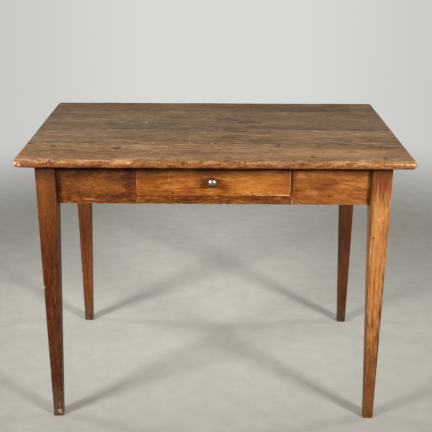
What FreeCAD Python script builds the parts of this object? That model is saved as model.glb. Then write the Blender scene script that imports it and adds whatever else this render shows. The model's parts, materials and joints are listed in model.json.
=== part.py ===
import FreeCAD, Part
import math
import os

from FreeCAD import Vector

# Tavern table with one drawer, every piece a solid of its own, in millimetres.
# The origin is on the floor under the middle of the top. X runs along the length, the front is at -Y.
# The pieces are made about the middle of the leg frame, and main moves them to the origin.

# Overall sizes
table_height = 750.0
top_length = 990.5
top_depth = 614.0
top_thickness = 22.0
left_overhang = 49.0
right_overhang = 54.5
front_overhang = 16.0
# The right end of the top is sawn out of square, so the back edge is shorter by this much
right_end_slant = 12.0

# Boards of the top, from the front, all planed alike where their widths don't add up to its depth
front_board_width = 152.5
middle_front_board_width = 147.5
middle_back_board_width = 203.0
back_board_width = 111.0
edge_rounding = 9.0
corner_rounding = 11.0
least_edge_flat = 1.0
tongue_length = 8.0
tongue_thickness = 7.0
groove_spare = 1.0

# Legs, square at the apron and tapered on the two inner faces
leg_size = 50.0
foot_size = 26.0
leg_arris = 2.0
taper_drop = 2.0
foot_wear = 1.5
foot_wear_height = 3.0

# Apron boards and the tenons that enter the legs
apron_height = 101.0
apron_thickness = 22.0
apron_setback = 12.0
apron_arris = 1.5
tenon_thickness = 8.0
tenon_front_shoulder = 4.0
tenon_top_shoulder = 18.0
tenon_bottom_shoulder = 8.0
mitre_gap = 1.0
peg_diameter = 6.0
peg_inset = 8.0
peg_past_tenon = 6.0
long_peg_spacing = 56.0
short_peg_spacing = 28.0

# Drawer opening in the front and the rail under it
opening_width = 389.5
rail_height = 22.0
rail_tenon_length = 18.0
rail_tenon_thickness = 8.0
rail_tenon_shoulder = 4.0
rail_peg_diameter = 5.0
rail_peg_inset = 7.0

# Runners that carry and guide the drawer, and the stops on them
bearer_reach = 20.0
bearer_thickness = 20.0
guide_width = 26.0
guide_height = 25.0
runner_stub_depth = 6.0
runner_stub_shoulder = 2.0
stop_length = 15.0
stop_width = 16.0
stop_height = 12.0

# Drawer
drawer_left_gap = 1.0
drawer_right_gap = 2.0
drawer_top_gap = 2.0
drawer_bottom_gap = 1.0
running_gap = 0.3
drawer_back_room = 40.0
drawer_front_thickness = 20.0
drawer_front_arris = 1.2
drawer_side_thickness = 12.0
drawer_side_drop = 5.0
drawer_back_thickness = 12.0
drawer_back_inset = 10.0
drawer_back_drop = 4.0
drawer_back_housing = 4.0
drawer_bottom_thickness = 7.0
drawer_bottom_rise = 8.0
drawer_bottom_groove = 5.0
panel_play = 0.5
dovetail_count = 3
dovetail_pin = 7.0
dovetail_slope = 1.0 / 6.0
dovetail_lap = 5.0

# Knob with its bolt, washer and square nut
knob_diameter = 24.0
knob_projection = 26.0
knob_head_depth = 19.5
knob_crown_depth = 11.0
knob_neck_diameter = 10.0
knob_foot_diameter = 17.0
knob_foot_thickness = 3.0
knob_foot_rim = 1.5
knob_offset = -2.5
knob_rise = 2.0
bolt_diameter = 6.0
bolt_depth_in_knob = 14.0
bolt_past_nut = 2.0
washer_diameter = 17.0
washer_thickness = 1.5
nut_size = 12.0
nut_thickness = 5.0

# Nails and screws
fastener_clearance = 0.05
nail_diameter = 2.2
nail_head_diameter = 5.0
nail_head_thickness = 1.0
bottom_nail_length = 24.0
bottom_nail_count = 3
side_nail_length = 30.0
side_nails_per_end = 2
stop_nail_length = 22.0
screw_diameter = 4.5
screw_head_diameter = 9.0
screw_head_thickness = 3.0
screw_slot_width = 1.2
screw_slot_depth = 1.5
screw_point_length = 6.0
screw_depth_in_top = 14.0
screw_seat_depth = 25.0
screw_angle = 18.0
pocket_diameter = 13.0
pocket_length = 45.0

# Places that follow from the sizes above
frame_length = top_length - left_overhang - right_overhang
frame_depth = top_depth - 2 * front_overhang
top_underside = table_height - top_thickness
top_left = -frame_length / 2 - left_overhang
top_right = frame_length / 2 + right_overhang
top_middle = (top_left + top_right) / 2
board_widths = (front_board_width, middle_front_board_width, middle_back_board_width, back_board_width)
planed_off = (sum(board_widths) - top_depth) / len(board_widths)
seam_front = -top_depth / 2 + front_board_width - planed_off
seam_middle = seam_front + middle_front_board_width - planed_off
seam_back = seam_middle + middle_back_board_width - planed_off
leg_inner_x = frame_length / 2 - leg_size
leg_inner_y = frame_depth / 2 - leg_size
apron_bottom = top_underside - apron_height
apron_front = -frame_depth / 2 + apron_setback
apron_rear = apron_front + apron_thickness
tenon_bottom = apron_bottom + tenon_bottom_shoulder
tenon_top = top_underside - tenon_top_shoulder
opening_side = opening_width / 2
rail_top = apron_bottom + rail_height
drawer_left = -opening_side + drawer_left_gap
drawer_right = opening_side - drawer_right_gap
drawer_front_bottom = rail_top + drawer_bottom_gap
drawer_front_top = top_underside - drawer_top_gap
drawer_front_rear = apron_front + drawer_front_thickness
drawer_end = -apron_rear - drawer_back_room
stop_front = drawer_end + running_gap
drawer_side_bottom = rail_top + running_gap
drawer_side_top = drawer_front_top - drawer_side_drop
drawer_panel_bottom = drawer_side_bottom + drawer_bottom_rise
drawer_floor = drawer_panel_bottom + drawer_bottom_thickness
drawer_back_top = drawer_side_top - drawer_back_drop
drawer_back_rear = drawer_end - drawer_back_inset
drawer_back_middle = drawer_back_rear - drawer_back_thickness / 2
knob_x = (drawer_left + drawer_right) / 2 + knob_offset
knob_z = (drawer_front_bottom + drawer_front_top) / 2 + knob_rise

SIDES = ((-1, "left"), (1, "right"))
DEPTHS = ((-1, "front"), (1, "back"))
UP = Vector(0, 0, 1)
INTO_TABLE = Vector(0, 1, 0)
TOLERANCE = 1e-4
# Handle length of a cubic curve that follows a quarter of an ellipse
QUARTER_HANDLE = 0.5523

pieces = {}


# Shapes that the pieces share

def box(x, y, z):
    """Block between the given places on each axis."""
    low = Vector(min(x), min(y), min(z))
    return Part.makeBox(max(x) - low.x, max(y) - low.y, max(z) - low.z, low)


def prism(points, direction):
    """Solid drawn from a flat outline along a direction."""
    return Part.Face(Part.makePolygon(points + points[:1])).extrude(direction)


def rod(diameter, start, direction, length):
    """Round rod from a start point along a direction."""
    return Part.makeCylinder(diameter / 2, length, start, direction)


def set_along(shape, start, direction):
    """Shape made along Z, turned to a direction and moved to a start point."""
    move = FreeCAD.Placement(start, FreeCAD.Rotation(UP, direction))
    shape.Placement = move.multiply(shape.Placement)
    return shape


def turned(edges, start, direction):
    """Solid turned about an axis from edges that close on that axis."""
    face = Part.Face(Part.Wire(edges))
    return set_along(face.revolve(Vector(0, 0, 0), UP, 360), start, direction)


def straight_edges(outline):
    """Edges through points given as (radius, distance along the axis)."""
    points = [Vector(radius, 0, along) for radius, along in outline]
    return [Part.LineSegment(a, b).toShape() for a, b in zip(points, points[1:])]


def quarter_round(start, corner, end):
    """Quarter of an ellipse between two points of an outline, towards the corner they share."""
    points = [Vector(radius, 0, along) for radius, along in (start, corner, end)]
    handles = [point + (points[1] - point) * QUARTER_HANDLE for point in (points[0], points[2])]
    curve = Part.BezierCurve()
    curve.setPoles([points[0], handles[0], handles[1], points[2]])
    return curve.toShape()


def near(value, other):
    """True where two places are the same."""
    return abs(value - other) < TOLERANCE


def round_edges(shape, radius, wanted):
    """Shape with the edges rounded whose bounds are wanted."""
    return shape.makeFillet(radius, [edge for edge in shape.Edges if wanted(edge.BoundBox)])


def make_nail(start, direction, length, clearance):
    """Nail whose flat head is flush with the wood at its start."""
    head = nail_head_diameter / 2 + clearance
    shank = nail_diameter / 2 + clearance
    tip = length + clearance
    outline = [(0, 0), (head, 0), (head, nail_head_thickness), (shank, nail_head_thickness),
               (shank, tip - nail_diameter), (0, tip), (0, 0)]
    return turned(straight_edges(outline), start, direction)


# Joints between legs and aprons

def corner_point(side_x, side_y, from_end, from_face, z):
    """Point measured inward from the outer faces of the leg at one corner."""
    return Vector(side_x * (frame_length / 2 - from_end), side_y * (frame_depth / 2 - from_face), z)


def leg_tenon(side_x, side_y, along_x, gap):
    """Tenon in one leg, mitred where it meets the tenon of the other apron."""
    near_face = apron_setback + tenon_front_shoulder
    far_face = near_face + tenon_thickness
    outline = [(leg_size, near_face), (near_face + gap, near_face),
               (far_face + gap, far_face), (leg_size, far_face)]
    if not along_x:
        outline = [(across, along) for along, across in outline]
    points = [corner_point(side_x, side_y, u, v, tenon_bottom) for u, v in outline]
    return prism(points, UP * (tenon_top - tenon_bottom))


def leg_pegs(side_x, side_y, clearance):
    """Pegs through both tenons of one leg, at staggered heights so that they miss each other."""
    length = apron_setback + tenon_front_shoulder + tenon_thickness + peg_past_tenon + clearance
    diameter = peg_diameter + 2 * clearance
    middle = (tenon_bottom + tenon_top) / 2
    inset = leg_size - peg_inset
    pegs = []
    for level in (-1, 1):
        long_start = corner_point(side_x, side_y, inset, 0, middle + level * long_peg_spacing / 2)
        short_start = corner_point(side_x, side_y, 0, inset, middle + level * short_peg_spacing / 2)
        pegs.append(rod(diameter, long_start, Vector(0, -side_y, 0), length))
        pegs.append(rod(diameter, short_start, Vector(-side_x, 0, 0), length))
    return pegs


def all_leg_pegs(clearance):
    """Pegs of all four legs."""
    corners = [(side_x, side_y) for side_y, _ in DEPTHS for side_x, _ in SIDES]
    return [peg for corner in corners for peg in leg_pegs(*corner, clearance)]


# Legs

def leg_section(side_x, side_y, size, inset, z):
    """Square outline of a leg with rounded arrises at one height."""
    low = inset
    high = size - inset
    bend = leg_arris * (1 - math.sqrt(0.5))
    corners = [(low, low, 1, 1), (high, low, -1, 1), (high, high, -1, -1), (low, high, 1, -1)]
    arcs = []
    for index, (u, v, du, dv) in enumerate(corners):
        ends = [(u, v + dv * leg_arris), (u + du * leg_arris, v)]
        if index % 2:
            ends.reverse()
        places = [ends[0], (u + du * bend, v + dv * bend), ends[1]]
        arcs.append([corner_point(side_x, side_y, *place, z) for place in places])
    edges = []
    for arc, following in zip(arcs, arcs[1:] + arcs[:1]):
        edges.append(Part.Arc(*arc).toShape())
        edges.append(Part.LineSegment(arc[-1], following[0]).toShape())
    return Part.Wire(edges)


def make_leg(side_x, side_y):
    """Leg that is square beside the apron and tapers below it on its inner faces."""
    taper_top = apron_bottom - taper_drop
    sole = leg_section(side_x, side_y, foot_size, foot_wear, 0)
    ankle = leg_section(side_x, side_y, foot_size, 0, foot_wear_height)
    knee = leg_section(side_x, side_y, leg_size, 0, taper_top)
    shaft = Part.makeLoft([sole, ankle, knee], True, True)
    post = Part.Face(knee).extrude(UP * (top_underside - taper_top))
    mortises = [leg_tenon(side_x, side_y, along_x, 0) for along_x in (True, False)]
    leg = shaft.fuse(post).removeSplitter()
    return leg.cut(mortises + leg_pegs(side_x, side_y, fastener_clearance))


def make_legs():
    """Four legs and the pegs in their joints."""
    for side_y, depth_name in DEPTHS:
        for side_x, side_name in SIDES:
            pieces[f"leg_{depth_name}_{side_name}"] = make_leg(side_x, side_y)
    pieces["leg_pegs"] = Part.makeCompound(all_leg_pegs(0))


# Screws that hold the top

def screw_places():
    """Where each screw crosses the top edge of an apron, and the level direction into the table."""
    middle = apron_setback + apron_thickness / 2
    line_x = frame_length / 2 - middle
    line_y = frame_depth / 2 - middle
    panel_middle = (opening_side + leg_inner_x) / 2
    places = []
    for side, _ in SIDES:
        for depth, _ in DEPTHS:
            crossing = Vector(side * panel_middle, depth * line_y, top_underside)
            places.append((crossing, Vector(0, -depth, 0)))
        for board_middle in ((seam_front + seam_middle) / 2, (seam_middle + seam_back) / 2):
            places.append((Vector(side * line_x, board_middle, top_underside), Vector(-side, 0, 0)))
    return places


def screw_axis(inward):
    """Direction of a screw, upward and leaning out of the table."""
    tilt = math.radians(screw_angle)
    return UP * math.cos(tilt) - inward * math.sin(tilt)


def make_screw(crossing, inward, clearance):
    """Slotted round headed screw from its seat in the apron up into the top."""
    axis = screw_axis(inward)
    seat = crossing - axis * screw_seat_depth
    length = screw_seat_depth + screw_depth_in_top / math.cos(math.radians(screw_angle)) + clearance
    radius = screw_diameter / 2 + clearance
    head = screw_head_diameter / 2
    crown = -screw_head_thickness
    outline = [(0, crown), (head / 2, crown), (head, crown / 2), (head, 0), (radius, 0),
               (radius, length - screw_point_length), (0, length), (0, crown)]
    slot = box((-head, head), (-screw_slot_width / 2, screw_slot_width / 2), (crown, crown + screw_slot_depth))
    return turned(straight_edges(outline), seat, axis).cut(set_along(slot, seat, axis))


def screw_cuts():
    """Holes and pockets for all the screws."""
    cuts = []
    for crossing, inward in screw_places():
        axis = screw_axis(inward)
        cuts.append(make_screw(crossing, inward, fastener_clearance))
        cuts.append(rod(pocket_diameter, crossing - axis * screw_seat_depth, axis * -1, pocket_length))
    return cuts


# Top

def make_top():
    """Four tongued and grooved boards, rounded along the outer edges of the top, and their screws."""
    length = (top_left, top_right)
    outline = [(top_left, -top_depth / 2), (top_right, -top_depth / 2),
               (top_right - right_end_slant, top_depth / 2), (top_left, top_depth / 2)]
    slab = prism([Vector(x, y, top_underside) for x, y in outline], UP * top_thickness)
    slab = round_edges(slab, corner_rounding, lambda bound: near(bound.ZLength, top_thickness))
    rounding = min(edge_rounding, top_thickness / 2 - least_edge_flat, corner_rounding - least_edge_flat)
    slab = round_edges(slab, rounding, lambda bound: near(bound.ZLength, 0))
    middle = top_underside + top_thickness / 2
    tongue_band = (middle - tongue_thickness / 2, middle + tongue_thickness / 2)
    seams = [-top_depth / 2, seam_front, seam_middle, seam_back, top_depth / 2]
    names = ["front", "middle_front", "middle_back", "back"]
    for index, name in enumerate(names):
        front, back = seams[index:index + 2]
        board = slab.common(box(length, (front, back), (top_underside, table_height)))
        if name != names[-1]:
            tongue = slab.common(box(length, (back, back + tongue_length), tongue_band))
            board = board.fuse(tongue).removeSplitter()
        if name != names[0]:
            board = board.cut(box(length, (front, front + tongue_length + groove_spare), tongue_band))
        pieces[f"top_board_{name}"] = board.cut(screw_cuts())
    pieces["top_screws"] = Part.makeCompound([make_screw(*place, 0) for place in screw_places()])


# Aprons and the drawer opening

def is_lower_arris(bound):
    """True for an edge along the bottom of an apron board."""
    along_board = bound.DiagonalLength > 2 * apron_thickness
    return near(bound.ZMin, apron_bottom) and near(bound.ZLength, 0) and along_board


def runner_stub(side, end):
    """End of a drawer runner that is let into the apron in front or behind."""
    x = (side * (opening_side + runner_stub_shoulder), side * (opening_side + guide_width))
    face = -end * apron_rear
    z = (rail_top - bearer_thickness, rail_top + guide_height)
    return box(x, (face, face + end * runner_stub_depth), z)


def rail_tenon(side):
    """Stub tenon of the drawer rail in one front panel."""
    middle = (apron_front + apron_rear) / 2
    y = (middle - rail_tenon_thickness / 2, middle + rail_tenon_thickness / 2)
    z = (apron_bottom + rail_tenon_shoulder, rail_top - rail_tenon_shoulder)
    return box((side * opening_side, side * (opening_side + rail_tenon_length)), y, z)


def rail_pegs(clearance):
    """Pegs through the front panels and the tenons of the drawer rail."""
    middle = (apron_bottom + rail_top) / 2
    length = (apron_thickness + rail_tenon_thickness) / 2 + clearance
    starts = [Vector(side * (opening_side + rail_peg_inset), apron_front, middle) for side, _ in SIDES]
    return [rod(rail_peg_diameter + 2 * clearance, start, INTO_TABLE, length) for start in starts]


def make_aprons():
    """Back and side aprons, and the two front panels beside the drawer."""
    height = (apron_bottom, top_underside)
    front = (apron_front, apron_rear)
    back = (-apron_rear, -apron_front)
    outer_x = frame_length / 2 - apron_setback
    boards = [("apron_back", box((-leg_inner_x, leg_inner_x), back, height), [(-1, 1, True), (1, 1, True)])]
    for side, name in SIDES:
        side_x = (side * outer_x, side * (outer_x - apron_thickness))
        side_board = box(side_x, (-leg_inner_y, leg_inner_y), height)
        panel = box((side * opening_side, side * leg_inner_x), front, height)
        boards.append((f"apron_{name}", side_board, [(side, -1, False), (side, 1, False)]))
        boards.append((f"front_panel_{name}", panel, [(side, -1, True)]))
    cuts = all_leg_pegs(fastener_clearance) + screw_cuts() + rail_pegs(fastener_clearance)
    cuts += [rail_tenon(side) for side, _ in SIDES]
    cuts += [runner_stub(side, end) for side, _ in SIDES for end, _ in DEPTHS]
    for name, board, tenons in boards:
        board = round_edges(board, apron_arris, is_lower_arris)
        pieces[name] = board.fuse([leg_tenon(*corner, mitre_gap) for corner in tenons]).cut(cuts)


def stop_nails(clearance):
    """Nails down through the drawer stops into the runners."""
    y = stop_front + stop_length / 2
    z = rail_top + stop_height
    starts = [Vector(side * (opening_side - stop_width / 2), y, z) for side, _ in SIDES]
    return [make_nail(start, UP * -1, stop_nail_length, clearance) for start in starts]


def make_drawer_opening():
    """Rail under the drawer, the runners behind it and the stops at their ends."""
    rail = box((-opening_side, opening_side), (apron_front, apron_rear), (apron_bottom, rail_top))
    rail = round_edges(rail, apron_arris, is_lower_arris).fuse([rail_tenon(side) for side, _ in SIDES])
    pieces["drawer_rail"] = rail.cut(rail_pegs(fastener_clearance))
    pieces["rail_pegs"] = Part.makeCompound(rail_pegs(0))
    pieces["stop_nails"] = Part.makeCompound(stop_nails(0))
    inside = (apron_rear, -apron_rear)
    for side, name in SIDES:
        wall = side * opening_side
        outer = side * (opening_side + guide_width)
        inner = side * (opening_side - bearer_reach)
        bearer = box((inner, outer), inside, (rail_top - bearer_thickness, rail_top))
        guide = box((wall, outer), inside, (rail_top, rail_top + guide_height))
        runner = bearer.fuse([guide] + [runner_stub(side, end) for end, _ in DEPTHS])
        stop_x = (wall, side * (opening_side - stop_width))
        stop = box(stop_x, (stop_front, stop_front + stop_length), (rail_top, rail_top + stop_height))
        pieces[f"drawer_runner_{name}"] = runner.removeSplitter().cut(stop_nails(fastener_clearance))
        pieces[f"drawer_stop_{name}"] = stop.cut(stop_nails(fastener_clearance))


# Drawer

def drawer_panel(play):
    """Drawer bottom, let into the sides and the front."""
    reach = drawer_bottom_groove + play
    x = (drawer_left + drawer_side_thickness - reach, drawer_right - drawer_side_thickness + reach)
    return box(x, (drawer_front_rear - reach, drawer_end), (drawer_panel_bottom, drawer_floor))


def drawer_back_board():
    """Drawer back, housed in the sides and standing on the bottom."""
    inset = drawer_side_thickness - drawer_back_housing
    y = (drawer_back_rear - drawer_back_thickness, drawer_back_rear)
    return box((drawer_left + inset, drawer_right - inset), y, (drawer_floor, drawer_back_top))


def dovetails(low_x):
    """Tails on the front end of the drawer side that starts at low_x."""
    length = drawer_front_thickness - dovetail_lap
    pitch = (drawer_side_top - drawer_front_bottom) / dovetail_count
    tip = (pitch - dovetail_pin) / 2
    root = tip - length * dovetail_slope
    tails = []
    for index in range(dovetail_count):
        middle = drawer_front_bottom + pitch * (index + 0.5)
        outline = [(0, -root), (-length, -tip), (-length, tip), (0, root)]
        points = [Vector(low_x, drawer_front_rear + along, middle + rise) for along, rise in outline]
        tails.append(prism(points, Vector(drawer_side_thickness, 0, 0)))
    return tails


def bottom_nails(clearance):
    """Nails up through the drawer bottom into the drawer back."""
    pitch = (drawer_right - drawer_left) / bottom_nail_count
    starts = [Vector(drawer_left + pitch * (index + 0.5), drawer_back_middle, drawer_panel_bottom)
              for index in range(bottom_nail_count)]
    return [make_nail(start, UP, bottom_nail_length, clearance) for start in starts]


def side_nails(clearance):
    """Nails through the drawer sides into the ends of the drawer back."""
    pitch = (drawer_back_top - drawer_floor) / side_nails_per_end
    nails = []
    for x, inward in ((drawer_left, Vector(1, 0, 0)), (drawer_right, Vector(-1, 0, 0))):
        for index in range(side_nails_per_end):
            start = Vector(x, drawer_back_middle, drawer_floor + pitch * (index + 0.5))
            nails.append(make_nail(start, inward, side_nail_length, clearance))
    return nails


def make_drawer():
    """Drawer front, dovetailed sides, housed back, bottom in its grooves, and the nails."""
    span = (drawer_left, drawer_right)
    front = box(span, (apron_front, drawer_front_rear), (drawer_front_bottom, drawer_front_top))
    front = round_edges(front, drawer_front_arris,
                        lambda bound: near(bound.YMin, apron_front) and near(bound.YLength, 0))
    groove = drawer_panel(panel_play)
    back = drawer_back_board()
    nails = side_nails(fastener_clearance) + bottom_nails(fastener_clearance)
    front_cuts = [groove, bolt_rod(fastener_clearance)]
    side_starts = (drawer_left, drawer_right - drawer_side_thickness)
    for (_, name), low_x in zip(SIDES, side_starts):
        board = box((low_x, low_x + drawer_side_thickness), (drawer_front_rear, drawer_end),
                    (drawer_side_bottom, drawer_side_top))
        tails = dovetails(low_x)
        front_cuts += tails
        pieces[f"drawer_side_{name}"] = board.fuse(tails).removeSplitter().cut([groove, back] + nails)
    pieces["drawer_front"] = front.cut(front_cuts)
    pieces["drawer_back"] = back.cut(nails)
    pieces["drawer_bottom"] = drawer_panel(0).cut(nails)
    pieces["drawer_side_nails"] = Part.makeCompound(side_nails(0))
    pieces["drawer_bottom_nails"] = Part.makeCompound(bottom_nails(0))


# Knob

def bolt_rod(clearance):
    """Bolt from inside the knob to just past the nut."""
    start = Vector(knob_x, apron_front - bolt_depth_in_knob, knob_z)
    inside = drawer_front_thickness + washer_thickness + nut_thickness + bolt_past_nut
    return rod(bolt_diameter + 2 * clearance, start, INTO_TABLE, bolt_depth_in_knob + inside)


def make_knob():
    """Turned knob on the drawer front, its bolt, and the washer and square nut behind."""
    head = knob_diameter / 2
    neck = knob_neck_diameter / 2
    foot = knob_foot_diameter / 2
    shoulder = knob_projection - knob_head_depth
    widest = knob_projection - knob_crown_depth
    outline = straight_edges([(0, 0), (foot, 0), (foot, knob_foot_rim), (neck, knob_foot_thickness),
                              (neck, shoulder)])
    outline.append(quarter_round((neck, shoulder), (head, shoulder), (head, widest)))
    outline.append(quarter_round((head, widest), (head, knob_projection), (0, knob_projection)))
    outline += straight_edges([(0, knob_projection), (0, 0)])
    knob = turned(outline, Vector(knob_x, apron_front, knob_z), INTO_TABLE * -1)
    hole = bolt_rod(fastener_clearance)
    nut_front = drawer_front_rear + washer_thickness
    washer = rod(washer_diameter, Vector(knob_x, drawer_front_rear, knob_z), INTO_TABLE, washer_thickness)
    nut = box((knob_x - nut_size / 2, knob_x + nut_size / 2), (nut_front, nut_front + nut_thickness),
              (knob_z - nut_size / 2, knob_z + nut_size / 2))
    pieces["drawer_knob"] = knob.cut(hole)
    pieces["knob_bolt"] = bolt_rod(0)
    pieces["knob_washer"] = washer.cut(hole)
    pieces["knob_nut"] = nut.cut(hole)


def main():
    """Make every piece and write one file for each."""
    make_legs()
    make_aprons()
    make_drawer_opening()
    make_top()
    make_drawer()
    make_knob()
    os.makedirs("parts", exist_ok=True)
    for name, shape in pieces.items():
        shape.translated(Vector(-top_middle, 0, 0)).exportStep(f"parts/{name}.step")


main()
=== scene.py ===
"""Looks of a worn tavern table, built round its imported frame.

Each wooden piece is lofted along its grain as a bar with worn arrises, a hair inside the solid that it stands
for, and is then cut to that solid where the solid has pockets, grooves or dovetails. Lengths are in
millimetres, on the frame's own axes, until a mesh or a node takes them.
"""
import json
import logging
import math
from collections.abc import Callable
from dataclasses import dataclass, replace
from enum import Enum, IntEnum
from functools import partial

import bmesh
import bpy
from mathutils import Matrix, Vector, noise


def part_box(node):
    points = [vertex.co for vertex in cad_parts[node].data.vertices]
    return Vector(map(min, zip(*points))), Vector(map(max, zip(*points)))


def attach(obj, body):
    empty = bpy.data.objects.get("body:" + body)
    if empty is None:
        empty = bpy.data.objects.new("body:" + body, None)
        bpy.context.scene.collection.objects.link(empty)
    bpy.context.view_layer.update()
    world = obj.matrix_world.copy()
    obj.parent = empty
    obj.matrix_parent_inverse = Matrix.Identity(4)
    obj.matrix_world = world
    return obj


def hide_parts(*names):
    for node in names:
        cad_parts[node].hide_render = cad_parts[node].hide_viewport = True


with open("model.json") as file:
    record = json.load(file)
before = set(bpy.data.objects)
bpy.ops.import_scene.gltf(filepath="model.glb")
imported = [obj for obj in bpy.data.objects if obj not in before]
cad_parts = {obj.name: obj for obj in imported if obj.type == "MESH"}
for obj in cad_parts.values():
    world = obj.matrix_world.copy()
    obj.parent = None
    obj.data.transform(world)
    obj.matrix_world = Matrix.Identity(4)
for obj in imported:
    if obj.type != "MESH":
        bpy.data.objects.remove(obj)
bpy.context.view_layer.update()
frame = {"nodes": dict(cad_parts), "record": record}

log = logging.getLogger("tavern_table")

MM = 0.001
# Angle from which an edge is shaded sharp
SMOOTH_ANGLE = math.radians(35.0)
# How far a seed also moves the noise along its third axis
SEED_SKEW = 0.37
# Distance within which doubled points of a solid are joined
WELD = 0.001
# Half depth of a mark on a flat face
MARK_DEPTH = 20.0
# Dirt and painted shadow of the top's overhang, right under the top
UNDER_TOP_DIRT_AND_SHADOW = 0.8

# Sockets of a Mix node for two colours and for two numbers, and what a mix of colours needs
UNDER, OVER = 6, 7
FIRST, SECOND = 2, 3
COLOURS = {"out": 2, "data_type": "RGBA"}

Colour = tuple[float, float, float, float]
Place = tuple[float, float, float]
Socket = bpy.types.NodeSocket
Tree = bpy.types.NodeTree


def linear(code: str) -> Colour:
    """Turn an sRGB hex colour into linear red, green, blue and a full alpha.

    Args:
        code: Colour such as "#8A5A32".

    Returns:
        The linear colour that Blender's sockets take.
    """
    shares = [int(code[i:i + 2], 16) / 255 for i in (1, 3, 5)]
    red, green, blue = (c / 12.92 if c <= 0.04045 else ((c + 0.055) / 1.055) ** 2.4 for c in shares)
    return red, green, blue, 1.0


def add_node(tree: Tree, kind: str, inputs: dict | None = None, out: int | str = 0, stops: tuple = (),
             **settings: object) -> Socket | None:
    """Add a shader node with its settings and links.

    Args:
        tree: Node tree that takes the node.
        kind: The node's type without its "ShaderNode" start.
        inputs: For each socket, by name or number, the value that it holds or the socket that feeds it.
        out: The wanted output, by name or number.
        stops: Places and colours along a colour ramp.
        settings: Other properties of the node.

    Returns:
        The wanted output, or None for a node without outputs.
    """
    node = tree.nodes.new("ShaderNode" + kind)
    for name, value in settings.items():
        setattr(node, name, value)
    for key, value in (inputs or {}).items():
        if isinstance(value, Socket):
            tree.links.new(value, node.inputs[key])
        else:
            node.inputs[key].default_value = value
    for index, (position, colour) in enumerate(stops):
        elements = node.color_ramp.elements
        element = elements[index] if index < len(elements) else elements.new(position)
        element.position = position
        element.color = colour
    return node.outputs[out] if node.outputs else None


def per_size(*sizes: float) -> tuple[float, ...]:
    """Pattern scales per metre for pattern sizes in millimetres."""
    return tuple(1 / (size * MM) for size in sizes)


def grey(level: float) -> Colour:
    """Plain grey of one linear level."""
    return level, level, level, 1.0


def wander(place: float, seed: float) -> float:
    """Smooth random value between -1 and 1 that changes over about one unit of place."""
    return noise.noise(Vector((place, seed, SEED_SKEW * seed)))


def graded(length: float, fine: float, coarse: float) -> list[float]:
    """Places from 0 to a length, close together near both ends and wider apart between.

    Args:
        length: Whole length.
        fine: First step from each end.
        coarse: Widest step.

    Returns:
        The places in order, with both ends.
    """
    growth = 1.5
    places = [0.0]
    step = min(fine, length / 2)
    while places[-1] + step < length / 2:
        places.append(places[-1] + step)
        step = min(step * growth, coarse)
    return places + [length - place for place in reversed(places)]


class Grain(Enum):
    """The way the fibres run: the axis, and the turn in degrees that lays that axis along X."""

    LENGTH = (0, (0.0, 0.0, 0.0))
    DEPTH = (1, (0.0, 0.0, -90.0))
    HEIGHT = (2, (0.0, 90.0, 0.0))

    @property
    def axis(self) -> int:
        """Number of the axis that the fibres follow."""
        return self.value[0]

    @property
    def turn(self) -> Place:
        """Turn in degrees that lays that axis along X."""
        return self.value[1]

    @property
    def across(self) -> tuple[int, int]:
        """Numbers of the two axes across the fibres."""
        return tuple(index for index in range(3) if index != self.axis)


class LongArris(IntEnum):
    """Arrises of a bar that lies along the table, in the order of its section."""

    LOWER_FRONT = 0
    LOWER_BACK = 1
    UPPER_BACK = 2
    UPPER_FRONT = 3


class LegArris(IntEnum):
    """Arrises of a bar that stands upright, in the order of its section."""

    FRONT_LEFT = 0
    FRONT_RIGHT = 1
    BACK_RIGHT = 2
    BACK_LEFT = 3


class Slot(Enum):
    """Material slots of the record."""

    TOP = "top_wood"
    FRAME = "frame_wood"
    DRAWER = "drawer_wood"
    KNOB = "knob_metal"


class Body(Enum):
    """Bodies that pieces ride on."""

    TABLE = "table"
    DRAWER = "drawer"


class Layer(Enum):
    """Layers painted on the meshes, each from 0 to 1."""

    WEAR = "wear"
    CHIP = "chip"
    # Dirt, with painted shade under the top, beside the legs and on the back legs' inner faces
    GRIME = "grime"
    FADE = "fade"


@dataclass(frozen=True)
class Mark:
    """A knot, stain, scratch, paler patch, or patch of painted light and shade.

    Attributes:
        place: Middle of the mark.
        reach: Half sizes of the mark along the axes.
        colour: Colour of the mark.
        strength: How much of the colour shows in the middle.
        edge: Share of the reach over which the mark fades out.
    """

    place: Place
    reach: Place
    colour: str
    strength: float
    edge: float = 0.6


@dataclass(frozen=True)
class Streaks:
    """One layer of streaks along the fibres.

    Attributes:
        length: Usual length of a streak.
        width: Usual width of a streak.
        share: How much the layer moves the tone, from dark to light.
        detail: How many finer layers ride on it.
    """

    length: float
    width: float
    share: float
    detail: float = 3.0


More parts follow.
